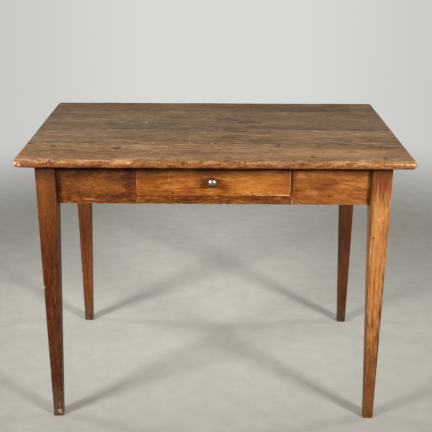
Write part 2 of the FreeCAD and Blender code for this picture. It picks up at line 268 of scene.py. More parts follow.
@dataclass(frozen=True)
class Wood:
    """Wood of one board: its tones, its growth and what use has left on it.

    Attributes:
        name: Name of the finish.
        grain: The way the fibres run.
        tones: Dark, middle and light colour under the finish.
        greyed: Dark, middle and light colour where the finish has gone.
        worn: Colour of rubbed arrises.
        bare: Colour of fresh chips.
        grime: Colour of dirt, which the painted shade takes too.
        pith: A point on the heart line of the tree.
        lean: Turns of the fibres off their axis, in degrees.
        ring: Width of a year's growth.
        ring_share: How much a year's late growth darkens.
        cloud: Broad drifts of tone.
        streak: Streaks that the eye sees first.
        fibre: Fine streaks between them.
        pore: Open pores that hold dirt.
        speck: Small pits and dents that catch light and dirt.
        arris_speck: How much more of them a worn arris has.
        tint: Second hue, which drifts over the wood.
        drift: Broad patches of that hue.
        sway: Length, width and reach of the fibres' bends.
        roughness: Usual roughness.
        sheen: Strength of the shine.
        bump_depth: Depth of the fibres.
        marks: Knots, stains, scratches and patches, some of them painted light and shade.
    """

    name: str
    grain: Grain
    tones: tuple[str, str, str]
    greyed: tuple[str, str, str] = ("#4B3B2C", "#75614C", "#9A8870")
    worn: str = "#B27A45"
    bare: str = "#F0CB9A"
    grime: str = "#1A0B04"
    pith: Place = (0.0, 0.0, 600.0)
    lean: tuple[float, float] = (0.8, 0.6)
    ring: float = 5.0
    ring_share: float = 0.15
    cloud: Streaks = Streaks(260.0, 60.0, 0.3)
    streak: Streaks = Streaks(90.0, 9.0, 0.3)
    fibre: Streaks = Streaks(30.0, 3.0, 0.3, 2.0)
    pore: Streaks = Streaks(14.0, 1.6, 0.3, 2.0)
    speck: Streaks = Streaks(5.0, 3.5, 0.22, 2.0)
    arris_speck: float = 0.6
    tint: str = "#7A6A58"
    drift: Streaks = Streaks(320.0, 120.0, 0.0)
    sway: tuple[float, float, float] = (260.0, 60.0, 9.0)
    roughness: float = 0.5
    sheen: float = 0.5
    bump_depth: float = 0.3
    marks: tuple[Mark, ...] = ()

    # Levels of the noise at which a layer is 0 and 1
    STREAK_LEVELS = (0.32, 0.68)
    PORE_LEVELS = (0.56, 0.72)
    DRIFT_LEVELS = (0.4, 0.64)
    SPECK_LEVELS = (0.3, 0.7)
    # Sums of paint and streaks at which a painted layer starts to show and shows in full
    FADE_LEVELS = (0.45, 0.95)
    WEAR_LEVELS = (0.5, 0.9)
    CHIP_LEVELS = (0.6, 0.85)
    GRIME_AND_SHADE_LEVELS = (0.1, 1.1)
    # How much the streaks add to paint and to grime with painted shade, and the paint below which both fade
    # out
    PAINT_BREAK = 0.45
    GRIME_AND_SHADE_BREAK = 0.15
    PAINT_START = 0.12
    # Where the dark, middle and light tone stand, and the place in a year and darkness there
    TONE_STOPS = (0.1, 0.5, 0.9)
    RING_STOPS = ((0.0, 0.0), (1.0, 0.0), (0.62, 0.45), (0.9, 1.0))
    RING_MEAN = 0.4
    # Share of the fibres in the specks, how ragged marks are, and how far out they end
    FIBRE_IN_SPECK = 0.4
    MARK_RAGGED = 0.4
    MARK_END = 1.2
    # What dark and light tone, rubbing, and grime with painted shade add to the roughness
    TONE_GLOSS = (0.07, -0.05)
    WEAR_GLOSS = 0.12
    GRIME_AND_SHADE_GLOSS = 0.25
    # Heights of pores and streaks for a height of 1 of the fibres
    PORE_HEIGHT = -1.5
    STREAK_HEIGHT = 0.8
    BUMP_STRENGTH = 0.4
    SWAY_DETAIL = 2.0
    NOISE_ROUGHNESS = 0.6
    IOR = 1.5

    def material(self) -> bpy.types.Material:
        """Build the finish.

        Growth rings are cylinders round the pith, so a face shows flames, lines or arcs as it was sawn.

        Returns:
            The material.
        """
        made = bpy.data.materials.new(self.name)
        made.use_nodes = True
        tree = made.node_tree
        tree.nodes.clear()
        place = add_node(tree, "TexCoord", out="Object")
        swayed = self.swayed(tree, place)
        cloud, streak, fibre = (self.drawn(tree, swayed, layer, self.STREAK_LEVELS)
                                for layer in (self.cloud, self.streak, self.fibre))
        pore = self.drawn(tree, swayed, self.pore, self.PORE_LEVELS)
        pore = add_node(tree, "Math", {0: pore, 1: self.pore.share}, operation="MULTIPLY")
        tone = self.tone(tree, self.rings(tree, swayed), (cloud, streak, fibre))
        colour = self.grown(tree, swayed, tone, streak)
        colour = add_node(tree, "Mix", {"Factor": pore, UNDER: colour, OVER: linear(self.grime)}, **COLOURS)
        for mark in self.marks:
            colour = self.marked(tree, place, fibre, colour, mark)
        colour = self.specked(tree, swayed, fibre, colour)
        rubbed = self.painted(tree, Layer.WEAR, fibre, self.WEAR_LEVELS)
        chipped = self.painted(tree, Layer.CHIP, fibre, self.CHIP_LEVELS)
        # Dirt, with the painted shade that its layer carries
        dirt_and_shade = self.painted(tree, Layer.GRIME, streak, self.GRIME_AND_SHADE_LEVELS, self.GRIME_AND_SHADE_BREAK)
        for mask, shade in ((rubbed, self.worn), (chipped, self.bare), (dirt_and_shade, self.grime)):
            colour = add_node(tree, "Mix", {"Factor": mask, UNDER: colour, OVER: linear(shade)}, **COLOURS)
        dark_gloss, light_gloss = (self.roughness + more for more in self.TONE_GLOSS)
        gloss = add_node(tree, "MapRange", {"Value": tone, "To Min": dark_gloss, "To Max": light_gloss})
        for mask, share in ((rubbed, self.WEAR_GLOSS), (dirt_and_shade, self.GRIME_AND_SHADE_GLOSS)):
            gloss = add_node(tree, "Math", {0: mask, 1: share, 2: gloss}, operation="MULTIPLY_ADD")
        height = fibre
        for layer, share in ((pore, self.PORE_HEIGHT), (streak, self.STREAK_HEIGHT)):
            height = add_node(tree, "Math", {0: layer, 1: share, 2: height}, operation="MULTIPLY_ADD")
        normal = add_node(tree, "Bump", {
            "Height": height, "Strength": self.BUMP_STRENGTH, "Distance": self.bump_depth * MM})
        surface = add_node(tree, "BsdfPrincipled", {
            "Base Color": colour, "Roughness": gloss, "Normal": normal, "IOR": self.IOR,
            "Specular IOR Level": self.sheen})
        add_node(tree, "OutputMaterial", {"Surface": surface})
        return made

    def swayed(self, tree: Tree, place: Socket) -> Socket:
        """Lay the fibres along X, measured from the pith, and bend them gently to and fro, as a tree grows.

        Args:
            tree: Node tree of the finish.
            place: Place on the object.

        Returns:
            The place along the swayed fibres.
        """
        heart = add_node(tree, "VectorMath", {0: place, 1: Vector(self.pith) * MM}, operation="SUBTRACT")
        turn = Vector(self.grain.turn) + Vector((0.0, *self.lean))
        along = add_node(tree, "Mapping", {"Vector": heart, "Rotation": [math.radians(a) for a in turn]})
        length, width, reach = self.sway
        stretched = add_node(tree, "Mapping", {"Vector": along, "Scale": per_size(length, width, width)})
        bend = add_node(tree, "TexNoise", {
            "Vector": stretched, "Scale": 1.0, "Detail": self.SWAY_DETAIL}, "Color")
        return add_node(tree, "VectorMath", {0: bend, 1: (0.0, reach * MM, reach * MM), 2: along},
                        operation="MULTIPLY_ADD")

    def rings(self, tree: Tree, swayed: Socket) -> Socket:
        """Draw the growth rings, each darkening slowly and ending sharply.

        Args:
            tree: Node tree of the finish.
            swayed: Place along the swayed fibres.

        Returns:
            Darkness of the rings, from 0 to 1.
        """
        scaled = add_node(tree, "Mapping", {
            "Vector": swayed, "Scale": (0.0, *per_size(self.ring, self.ring))})
        radius = add_node(tree, "VectorMath", {0: scaled}, "Value", operation="LENGTH")
        year = add_node(tree, "Math", {0: radius}, operation="FRACT")
        return add_node(tree, "ValToRGB", {"Fac": year}, stops=tuple(
            (part, grey(darkness)) for part, darkness in self.RING_STOPS))

    def drawn(self, tree: Tree, swayed: Socket, layer: Streaks, levels: tuple[float, float]) -> Socket:
        """Draw one layer of streaks.

        Args:
            tree: Node tree of the finish.
            swayed: Place along the swayed fibres.
            layer: The streaks.
            levels: Levels of the noise that give 0 and 1.

        Returns:
            The streaks, from 0 to 1.
        """
        stretched = add_node(tree, "Mapping", {
            "Vector": swayed, "Scale": per_size(layer.length, layer.width, layer.width)})
        noisy = add_node(tree, "TexNoise", {
            "Vector": stretched, "Scale": 1.0, "Detail": layer.detail,
            "Roughness": self.NOISE_ROUGHNESS}, "Fac")
        return add_node(tree, "MapRange", {"Value": noisy, "From Min": levels[0], "From Max": levels[1]})

    def tone(self, tree: Tree, ring: Socket, layers: tuple[Socket, ...]) -> Socket:
        """Add rings and streaks up to one tone from dark, 0, to light, 1.

        Args:
            tree: Node tree of the finish.
            ring: Growth rings, which darken.
            layers: Cloud, streak and fibre.

        Returns:
            The tone.
        """
        shares = (self.cloud.share, self.streak.share, self.fibre.share)
        start = self.TONE_STOPS[1] + self.ring_share * self.RING_MEAN - sum(shares) / 2
        total = add_node(tree, "Math", {0: ring, 1: -self.ring_share, 2: start}, operation="MULTIPLY_ADD")
        for layer, share in zip(layers, shares):
            total = add_node(tree, "Math", {0: layer, 1: share, 2: total}, operation="MULTIPLY_ADD")
        return total

    def grown(self, tree: Tree, swayed: Socket, tone: Socket, streak: Socket) -> Socket:
        """Colour the tone, sound or greyed, with drifts of a second hue.

        Args:
            tree: Node tree of the finish.
            swayed: Place along the swayed fibres.
            tone: Tone from dark to light.
            streak: Streaks that break up the greyed wood.

        Returns:
            The colour of the wood before use.
        """
        dark_stop, middle_stop, light_stop = self.TONE_STOPS
        sound, greyed = (add_node(tree, "ValToRGB", {"Fac": tone}, stops=(
            (dark_stop, linear(dark)), (light_stop, linear(light)), (middle_stop, linear(middle))))
            for dark, middle, light in (self.tones, self.greyed))
        faded = self.painted(tree, Layer.FADE, streak, self.FADE_LEVELS)
        colour = add_node(tree, "Mix", {"Factor": faded, UNDER: sound, OVER: greyed}, **COLOURS)
        if not self.drift.share:
            return colour
        drift = self.drawn(tree, swayed, self.drift, self.DRIFT_LEVELS)
        drift = add_node(tree, "Math", {0: drift, 1: self.drift.share}, operation="MULTIPLY")
        return add_node(tree, "Mix", {"Factor": drift, UNDER: colour, OVER: linear(self.tint)}, **COLOURS)

    def marked(self, tree: Tree, place: Socket, ragged: Socket, colour: Socket, mark: Mark) -> Socket:
        """Lay one mark over the colour, with a ragged edge.

        Args:
            tree: Node tree of the finish.
            place: Place on the object.
            ragged: Streaks that break up the edge.
            colour: Colour so far.
            mark: The mark.

        Returns:
            The colour with the mark.
        """
        offset = add_node(tree, "VectorMath", {0: place, 1: Vector(mark.place) * MM}, operation="SUBTRACT")
        scaled = add_node(tree, "VectorMath", {0: offset, 1: per_size(*mark.reach)}, operation="MULTIPLY")
        distance = add_node(tree, "VectorMath", {0: scaled}, "Value", operation="LENGTH")
        distance = add_node(tree, "Math", {0: ragged, 1: self.MARK_RAGGED, 2: distance},
                            operation="MULTIPLY_ADD")
        mask = add_node(tree, "MapRange", {
            "Value": distance, "From Min": self.MARK_END - mark.edge, "From Max": self.MARK_END,
            "To Min": mark.strength, "To Max": 0.0}, interpolation_type="SMOOTHSTEP")
        return add_node(tree, "Mix", {"Factor": mask, UNDER: colour, OVER: linear(mark.colour)}, **COLOURS)

    def specked(self, tree: Tree, swayed: Socket, fibre: Socket, colour: Socket) -> Socket:
        """Lighten and darken the colour in small pits and dents, most of all along worn arrises.

        Args:
            tree: Node tree of the finish.
            swayed: Place along the swayed fibres.
            fibre: Fine streaks.
            colour: Colour so far.

        Returns:
            The colour with the specks.
        """
        speck = self.drawn(tree, swayed, self.speck, self.SPECK_LEVELS)
        mottle = add_node(tree, "Mix", {"Factor": self.FIBRE_IN_SPECK, FIRST: speck, SECOND: fibre})
        worn = add_node(tree, "Attribute", {}, "Fac", attribute_name=Layer.WEAR.value)
        pitted = add_node(tree, "Math", {0: worn, 1: self.arris_speck, 2: self.speck.share},
                          operation="MULTIPLY_ADD")
        return add_node(tree, "Mix", {"Factor": pitted, UNDER: colour, OVER: mottle}, **COLOURS,
                        blend_type="OVERLAY")

    def painted(self, tree: Tree, layer: Layer, texture: Socket, levels: tuple[float, float],
                break_up: float = PAINT_BREAK) -> Socket:
        """Read a layer painted on the mesh, broken up by the wood's own streaks.

        Args:
            tree: Node tree of the finish.
            layer: The painted layer.
            texture: Streaks that break it up.
            levels: Sums of both that start to show and that show in full.
            break_up: How much the streaks add.

        Returns:
            How far the layer shows, from 0 to 1.
        """
        paint = add_node(tree, "Attribute", {}, "Fac", attribute_name=layer.value)
        broken = add_node(tree, "Math", {0: texture, 1: break_up, 2: paint}, operation="MULTIPLY_ADD")
        mask = add_node(tree, "MapRange", {"Value": broken, "From Min": levels[0], "From Max": levels[1]})
        any_paint = add_node(tree, "MapRange", {"Value": paint, "From Max": self.PAINT_START})
        return add_node(tree, "Math", {0: mask, 1: any_paint}, operation="MULTIPLY")


@dataclass(frozen=True)
class Metal:
    """Bare metal with handling marks, turning brown, rougher and less metallic where its mesh has a painted
    layer for it.

    Attributes:
        name: Name of the finish.
        bright: Colour where it is polished.
        dull: Colour where it is tarnished.
        roughness: Roughness where it is polished and where it is tarnished.
        cloud: Size of the tarnished patches.
        scratch: Size of the scratches.
        bump_depth: Depth of the scratches.
        grime: Colour where that painted layer shows.
    """

    name: str
    bright: str
    dull: str
    roughness: tuple[float, float]
    cloud: float
    scratch: float
    bump_depth: float
    grime: str = "#362110"

    # Levels of the cloud between which the metal tarnishes and dulls
    TARNISH_LEVELS = (0.4, 0.68)
    GLOSS_LEVELS = (0.35, 0.7)
    CLOUD_DETAIL = 4.0
    SCRATCH_DETAIL = 6.0
    SCRATCH_TWIST = 2.0
    # How much that painted layer roughens and hides the metal
    GRIME_AND_SHADE_GLOSS = 0.25
    GRIME_HIDES = 0.9
    BUMP_STRENGTH = 0.3

    def material(self) -> bpy.types.Material:
        """Build the finish.

        Returns:
            The material.
        """
        made = bpy.data.materials.new(self.name)
        made.use_nodes = True
        tree = made.node_tree
        tree.nodes.clear()
        place = add_node(tree, "TexCoord", out="Object")
        cloud = add_node(tree, "TexNoise", {
            "Vector": place, "Scale": per_size(self.cloud)[0], "Detail": self.CLOUD_DETAIL}, "Fac")
        scratch = add_node(tree, "TexNoise", {
            "Vector": place, "Scale": per_size(self.scratch)[0], "Detail": self.SCRATCH_DETAIL,
            "Distortion": self.SCRATCH_TWIST}, "Fac")
        tarnish = add_node(tree, "MapRange", {
            "Value": cloud, "From Min": self.TARNISH_LEVELS[0], "From Max": self.TARNISH_LEVELS[1]})
        colour = add_node(tree, "Mix", {
            "Factor": tarnish, UNDER: linear(self.bright), OVER: linear(self.dull)}, **COLOURS)
        gloss = add_node(tree, "MapRange", {
            "Value": cloud, "From Min": self.GLOSS_LEVELS[0], "From Max": self.GLOSS_LEVELS[1],
            "To Min": self.roughness[0], "To Max": self.roughness[1]})
        dirt = add_node(tree, "Attribute", {}, "Fac", attribute_name=Layer.GRIME.value)
        colour = add_node(tree, "Mix", {"Factor": dirt, UNDER: colour, OVER: linear(self.grime)}, **COLOURS)
        gloss = add_node(tree, "Math", {0: dirt, 1: self.GRIME_AND_SHADE_GLOSS, 2: gloss}, operation="MULTIPLY_ADD")
        bare = add_node(tree, "Math", {0: dirt, 1: -self.GRIME_HIDES, 2: 1.0}, operation="MULTIPLY_ADD")
        normal = add_node(tree, "Bump", {
            "Height": scratch, "Strength": self.BUMP_STRENGTH, "Distance": self.bump_depth * MM})
        surface = add_node(tree, "BsdfPrincipled", {
            "Base Color": colour, "Roughness": gloss, "Normal": normal, "Metallic": bare})
        add_node(tree, "OutputMaterial", {"Surface": surface})
        return made


@dataclass(frozen=True)
class Nick:
    """A hollow worn or knocked into one arris of a bar.

    Attributes:
        arris: Number of the arris, counted round the section.
        place: Middle of the hollow on the bar's own axis.
        length: Half length of the hollow.
        depth: How much it adds to the rounding there.
        bare: How far fresh wood shows in it, from 0 to 1.
    """

    arris: int
    place: float
    length: float
    depth: float
    bare: float = 0.0


@dataclass
class WornBar:
    """A bar of wood, lofted along its grain, with faces worn in a little and arrises rubbed round.

    The four sides of its section are numbered from the lower side of the second axis across the grain, then
    round by the higher side of the first. The arris before each side has that side's number.

    Attributes:
        low: Lowest corner of the solid.
        high: Highest corner of the solid.
        grain: The way the fibres run.
        seed: Number that makes this bar's wear its own.
        arris: Rounding of the four long edges.
        end_round: Rounding of the ends towards each of the four sides.
        rubbed: How much each arris shows rubbed wood.
        step: Widest distance between sections.
        side_steps: Widest distance between points across each side.
        worn_in: Greatest depth to which the faces have worn in, beyond the least one.
        nicks: Hollows in the arrises.
        grime: Gives the dirt, with any painted shade, at a place, from 0 to 1.
        fade: Gives the bare, greyed wood at a place, from 0 to 1.
    """

    low: Vector
    high: Vector
    grain: Grain
    seed: float
    arris: tuple[float, float, float, float] = (1.5, 1.5, 1.5, 1.5)
    end_round: tuple[float, float, float, float] = (0.8, 0.8, 0.8, 0.8)
    rubbed: tuple[float, float, float, float] = (0.6, 0.6, 0.6, 0.6)
    step: float = 7.0
    side_steps: tuple[float, float, float, float] = (12.0, 12.0, 12.0, 12.0)
    worn_in: float = 0.25
    nicks: tuple[Nick, ...] = ()
    grime: Callable[[Vector], float] = lambda place: 0.0
    fade: Callable[[Vector], float] = lambda place: 0.0

    LEAST_WORN_IN = 0.08
    LEAST_ROUND = 0.25
    LEAST_FLAT = 0.05
    ARC_STEPS = 5
    END_STEPS = 5
    FINE_STEP = 1.5
    RUB_REACH = 3.0
    # Lengths over which the wear of faces, roundings and rubbing changes, and how much it changes
    FACE_WAVE = 140.0
    LONG_WAVE, LONG_SHARE = 45.0, 0.3
    SHORT_WAVE, SHORT_SHARE = 13.0, 0.2
    RUB_WAVE, RUB_MEAN, RUB_SHARE = 8.0, 0.72, 0.5
    # Steps between the seeds of sides, of arrises, of short waves and of rubbing
    FACE_SEED, ROUND_SEED, SHORT_SEED, RUB_SEED = 7.3, 3.1, 1.7, 11.0

    @property
    def length(self) -> float:
        """Length along the grain."""
        return self.high[self.grain.axis] - self.low[self.grain.axis]

    def stations(self) -> list[float]:
        """Places of the sections, close together where the ends are rounded.

        Returns:
            Their distances from the low end.
        """
        bend = max(self.end_round)
        turns = [math.pi / 2 * step / self.END_STEPS for step in range(self.END_STEPS + 1)]
        ends = [bend * (1 - math.cos(turn)) for turn in turns]
        middle = graded(self.length - 2 * bend, self.FINE_STEP, self.step)[1:-1]
        return ends + [bend + place for place in middle] + [self.length - place for place in reversed(ends)]

    def sides(self, along: float) -> list[float]:
        """Places of the four sides of the section.

        Args:
            along: Distance from the low end.

        Returns:
            Second axis low, first axis high, second axis high, first axis low.
        """
        first, second = self.grain.across
        faces = [self.low[second], self.high[first], self.high[second], self.low[first]]
        inward = (1, -1, -1, 1)
        from_end = min(along, self.length - along)
        for index, bend in enumerate(self.end_round):
            short = max(bend - from_end, 0.0)
            waved = wander(along / self.FACE_WAVE, self.seed + self.FACE_SEED * index)
            dip = self.worn_in * (1 + waved) / 2
            round_off = bend - math.sqrt(max(bend * bend - short * short, 0.0))
            faces[index] += inward[index] * (round_off + self.LEAST_WORN_IN + dip)
        return faces

    def rounding(self, index: int, along: float) -> float:
        """Rounding of one arris at one section.

        Args:
            index: Number of the arris.
            along: Distance from the low end.

        Returns:
            The radius there.
        """
        seed = self.seed + self.ROUND_SEED * index
        uneven = self.LONG_SHARE * wander(along / self.LONG_WAVE, seed)
        uneven += self.SHORT_SHARE * wander(along / self.SHORT_WAVE, seed + self.SHORT_SEED)
        radius = self.arris[index] * (1 + uneven)
        place = along + self.low[self.grain.axis]
        for nick in self.nicks:
            if nick.arris == index:
                radius += nick.depth * math.exp(-((place - nick.place) / nick.length) ** 2)
        return max(radius, self.LEAST_ROUND)

    def chipped(self, index: int, along: float) -> float:
        """How far fresh wood shows on one arris at one section.

        Args:
            index: Number of the arris.
            along: Distance from the low end.

        Returns:
            The share of fresh wood.
        """
        place = along + self.low[self.grain.axis]
        return max((nick.bare * math.exp(-((place - nick.place) / nick.length) ** 4) for nick in self.nicks
                    if nick.arris == index), default=0.0)

    def relief(self, place: Vector, side: int) -> float:
        """Extra depth worn into a side at a place on it."""
        return 0.0

    def section(self, along: float, shares: list[list[float]]) -> list[tuple[Vector, float, int]]:
        """Points round one section.

        Args:
            along: Distance from the low end.
            shares: Shares of each side's flat at which it has points.

        Returns:
            For each point its place, its closeness to an arris from 0 to 1, and that arris.
        """
        bottom, right, top, left = self.sides(along)
        spare = min(right - left, top - bottom) / 2 - self.LEAST_FLAT
        radii = [min(self.rounding(index, along), spare) for index in range(4)]
        corners = ((left, bottom, 1, 1), (right, bottom, -1, 1), (right, top, -1, -1), (left, top, 1, -1))
        centres = [Vector((u + du * r, v + dv * r)) for (u, v, du, dv), r in zip(corners, radii)]
        first, second = self.grain.across
        points = []

        def keep(spot: Vector, closeness: float, arris: int, side: int) -> None:
            """Store a point after its side's relief.

            Args:
                spot: Place across the grain.
                closeness: Closeness to an arris, from 0 to 1.
                arris: Number of that arris.
                side: Number of the side.
            """
            place = Vector((0.0, 0.0, 0.0))
            place[self.grain.axis] = self.low[self.grain.axis] + along
            place[first] = spot.x
            place[second] = spot.y
            outward = second if side in (0, 2) else first
            sign = 1 if side in (1, 2) else -1
            place[outward] -= sign * self.relief(place, side)
            points.append((place, closeness, arris))

        for side in range(4):
            after = (side + 1) % 4
            angle = math.pi / 2 * (side - 1)
            facing = Vector((math.cos(angle), math.sin(angle)))
            start = centres[side] + facing * radii[side]
            end = centres[after] + facing * radii[after]
            width = (end - start).length
            for share in shares[side]:
                gap = width * min(share, 1 - share)
                nearest = side if share < 1 - share else after
                keep(start.lerp(end, share), near_edge(gap, self.RUB_REACH), nearest, side)
            for step in range(1, self.ARC_STEPS):
                turn = angle + math.pi / 2 * step / self.ARC_STEPS
                spot = centres[after] + Vector((math.cos(turn), math.sin(turn))) * radii[after]
                keep(spot, 1.0, after, side if step < self.ARC_STEPS / 2 else after)
        return points

    def mesh(self, name: str) -> bpy.types.Mesh:
        """Loft the bar and paint its wear, grime and fading.

        Args:
            name: Name of the mesh.

        Returns:
            The closed mesh, in metres.
        """
        first, second = self.grain.across
        widths = [self.high[axis] - self.low[axis] for axis in (first, second, first, second)]
        shares = [[place / width for place in graded(width, self.FINE_STEP, step)]
                  for width, step in zip(widths, self.side_steps)]
        stations = self.stations()
        rings = [self.section(along, shares) for along in stations]
        count = len(rings[0])
        places = [place for ring in rings for place, _, _ in ring]
        faces = [list(range(count)), list(range(len(places) - count, len(places)))]
        for start in range(0, len(places) - count, count):
            for index in range(count):
                after = (index + 1) % count
                faces.append([start + index, start + after, start + count + after, start + count + index])
        layers = {layer: [] for layer in Layer}
        for along, ring in zip(stations, rings):
            chips = [self.chipped(index, along) for index in range(4)]
            for place, closeness, arris in ring:
                waved = wander(along / self.RUB_WAVE, self.seed + self.RUB_SEED * arris)
                broken = self.RUB_MEAN + self.RUB_SHARE * waved
                layers[Layer.WEAR].append(max(self.rubbed[arris] * closeness * broken, 0.0))
                layers[Layer.CHIP].append(chips[arris] * closeness ** 2)
                layers[Layer.GRIME].append(self.grime(place))
                layers[Layer.FADE].append(self.fade(place))
        return write_mesh(name, places, faces, layers)


def write_mesh(name: str, places: list[Vector], faces: list[list[int]],
               layers: dict[Layer, list[float]]) -> bpy.types.Mesh:
    """Write a mesh in metres with its painted layers, faces outward and smooth.

    Args:
        name: Name of the mesh.
        places: Points in millimetres.
        faces: Point numbers of each face.
        layers: One value per point for each painted layer.

    Returns:
        The mesh.
    """
    mesh = bpy.data.meshes.new(name)
    mesh.from_pydata([place * MM for place in places], [], faces)
    for layer, values in layers.items():
        mesh.attributes.new(layer.value, "FLOAT", "POINT").data.foreach_set("value", values)
    work = bmesh.new()
    work.from_mesh(mesh)
    bmesh.ops.recalc_face_normals(work, faces=work.faces)
    work.to_mesh(mesh)
    work.free()
    smooth(mesh)
    return mesh


def smooth(mesh: bpy.types.Mesh) -> None:
    """Shade a mesh smooth, apart from its sharp corners."""
    mesh.polygons.foreach_set("use_smooth", [True] * len(mesh.polygons))
    mesh.set_sharp_from_angle(angle=SMOOTH_ANGLE)


def cut_to_solid(mesh: bpy.types.Mesh, node: str) -> bpy.types.Mesh:
    """Keep what of a worn bar lies in its solid, so that pockets, grooves and dovetails show.

    Args:
        mesh: Mesh of the worn bar.
        node: Name of the solid.

    Returns:
        The cut mesh.
    """
    solid = bpy.data.meshes.new(f"{node}_solid")
    work = bmesh.new()
    work.from_mesh(frame["nodes"][node].data)
    bmesh.ops.remove_doubles(work, verts=work.verts, dist=WELD * MM)
    work.to_mesh(solid)
    work.free()
    bar = bpy.data.objects.new(f"{node}_bar", mesh)
    cutter = bpy.data.objects.new(f"{node}_cutter", solid)
    for helper in (bar, cutter):
        bpy.context.scene.collection.objects.link(helper)
    cut = bar.modifiers.new("cut", "BOOLEAN")
    cut.operation = "INTERSECT"
    cut.solver = "EXACT"
    cut.object = cutter
    shown = bar.evaluated_get(bpy.context.evaluated_depsgraph_get())
    made = bpy.data.meshes.new_from_object(shown)
    made.name = mesh.name
    for helper in (bar, cutter):
        bpy.data.objects.remove(helper)
    smooth(made)
    return made


def place_piece(name: str, mesh: bpy.types.Mesh, material: bpy.types.Material, body: Body, slot: Slot,
                *nodes: str) -> bpy.types.Object:
    """Add a piece to the scene in place of the solids that it stands for.

    Args:
        name: Name of the piece.
        mesh: Its mesh.
        material: Its finish.
        body: Body that it rides on.
        slot: Material slot of the record; not used.
        nodes: Solids that it stands for.

    Returns:
        The piece.
    """
    mesh.materials.clear()
    mesh.materials.append(material)
    piece = bpy.data.objects.new(name, mesh)
    bpy.context.scene.collection.objects.link(piece)
    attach(piece, body.value)
    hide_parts(*nodes)
    log.info("%s: %d faces, stands for %s", name, len(mesh.polygons), ", ".join(nodes))
    return piece


def dress_solid(node: str, material: bpy.types.Material) -> None:
    """Give a solid that stays in view a finish of its own.

    Args:
        node: Name of the solid.
        material: Its finish.
    """
    mesh = frame["nodes"][node].data
    mesh.materials.clear()
    mesh.materials.append(material)
    log.info("%s: kept, with %s", node, material.name)


def corners(node: str) -> tuple[Vector, Vector]:
    """Lowest and highest corner of a solid in millimetres."""
    low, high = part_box(node)
    return low / MM, high / MM


def near_edge(distance: float, reach: float) -> float:
    """1 at an edge, fading to 0 over the reach."""
    return math.exp(-max(distance, 0.0) / reach)


def eased(share: float) -> float:
    """Share held between 0 and 1, with a soft start and end."""
    held = max(0.0, min(1.0, share))
    return held * held * (3 - 2 * held)


def under_top_dirt_and_shadow(drop: float, overhang_dirt_and_shadow_reach: float) -> float:
    """Dirt and painted shadow under the top: thick at first, half gone as far down as the overhang's shadow
    reaches.

    Args:
        drop: Distance below the top.
        overhang_dirt_and_shadow_reach: How far down the painted shadow of the overhang, with its dirt,
            reaches.

    Returns:
        The dirt and painted shadow, from 0 to 1.
    """
    return UNDER_TOP_DIRT_AND_SHADOW * eased(1 - drop / (2 * overhang_dirt_and_shadow_reach))


def on_top(x: float, y: float, long: float, wide: float, colour: str, strength: float,
           edge: float = Mark.edge) -> Mark:
    """Mark on the upper face of the top, by its middle and half sizes."""
    return Mark((x, y, corners("top_board_front")[1].z), (long, wide, MARK_DEPTH), colour, strength, edge)


def on_front(x: float, z: float, long: float, tall: float, colour: str, strength: float,
             edge: float = Mark.edge) -> Mark:
    """Mark on the flush front of panels, rail and drawer, by its middle and half sizes."""
    return Mark((x, corners("drawer_front")[0].y, z), (long, MARK_DEPTH, tall), colour, strength, edge)


# Old walnut planks, planed by hand and oiled: warm brown along the edges and scrubbed grey brown on the face,
# with short broken streaks, dirt in open pores, pitted edges and little gloss. Its fibres, a tenth of a
# millimetre wide in truth, are drawn as streaks of some millimetres, which is the finest that shows.
WALNUT = Wood(
    "walnut_planed_oiled", Grain.LENGTH, tones=("#5A2C0D", "#80461B", "#A26630"),
    greyed=("#483422", "#785C40", "#A38560"), worn="#AC7D4E", ring=7.0, ring_share=0.1,
    cloud=Streaks(240.0, 60.0, 0.4), streak=Streaks(90.0, 11.0, 0.3, 4.0), fibre=Streaks(26.0, 7.5, 0.36),
    pore=Streaks(14.0, 6.5, 0.42), speck=Streaks(6.0, 5.0, 0.3, 2.0), arris_speck=1.6,
    drift=Streaks(260.0, 110.0, 0.45), sway=(280.0, 70.0, 11.0), roughness=0.72, sheen=0.3)

# Old fruitwood, planed and rubbed with shellac: warm orange brown and mottled, a soft sheen, dirt and painted
# shadow under the top. Its fibres are drawn as coarse as they need to show.
FRUITWOOD = Wood(
    "fruitwood_planed_shellacked", Grain.LENGTH, tones=("#5E2C0B", "#86481A", "#AD6C30"), ring=9.0,
    cloud=Streaks(110.0, 36.0, 0.46), streak=Streaks(60.0, 8.0, 0.34), fibre=Streaks(18.0, 4.0, 0.32),
    pore=Streaks(9.0, 3.5, 0.3), speck=Streaks(5.0, 3.5, 0.26, 2.0), sway=(90.0, 34.0, 7.0), roughness=0.46,
    sheen=0.22)

# The same wood riven into thin pegs: short, fine streaks
PEG_WOOD = replace(FRUITWOOD, name="fruitwood_riven", streak=Streaks(9.0, 1.5, 0.3),
                   fibre=Streaks(4.0, 0.8, 0.3))

# Softwood as sawn and planed, never finished: dry, dusty tan that has browned with age, striped by its rings
SOFTWOOD = Wood(
    "softwood_planed_bare", Grain.DEPTH, tones=("#7A5836", "#A07C52", "#BC9A6C"), worn="#CBAE84", ring=4.0,
    ring_share=0.36, cloud=Streaks(200.0, 50.0, 0.35), streak=Streaks(120.0, 6.0, 0.25),
    fibre=Streaks(40.0, 2.0, 0.2), pore=Streaks(14.0, 1.6, 0.1), roughness=0.72, sheen=0.3)

# White metal turned on a lathe and polished by hands: a dim grey brown mirror with soft scratches, turning
# a darker, duller brown over its lower half
WHITE_METAL = Metal(
    "white_metal_turned", "#CDB9A0", "#97826A", (0.36, 0.48), cloud=6.0, scratch=3.5, bump_depth=0.7)

# Iron, forged and drawn, gone brown black: dull with rusty bloom
DARK_IRON = Metal(
    "iron_forged_browned", "#4A443F", "#38291F", (0.45, 0.7), cloud=4.0, scratch=0.8, bump_depth=0.08)


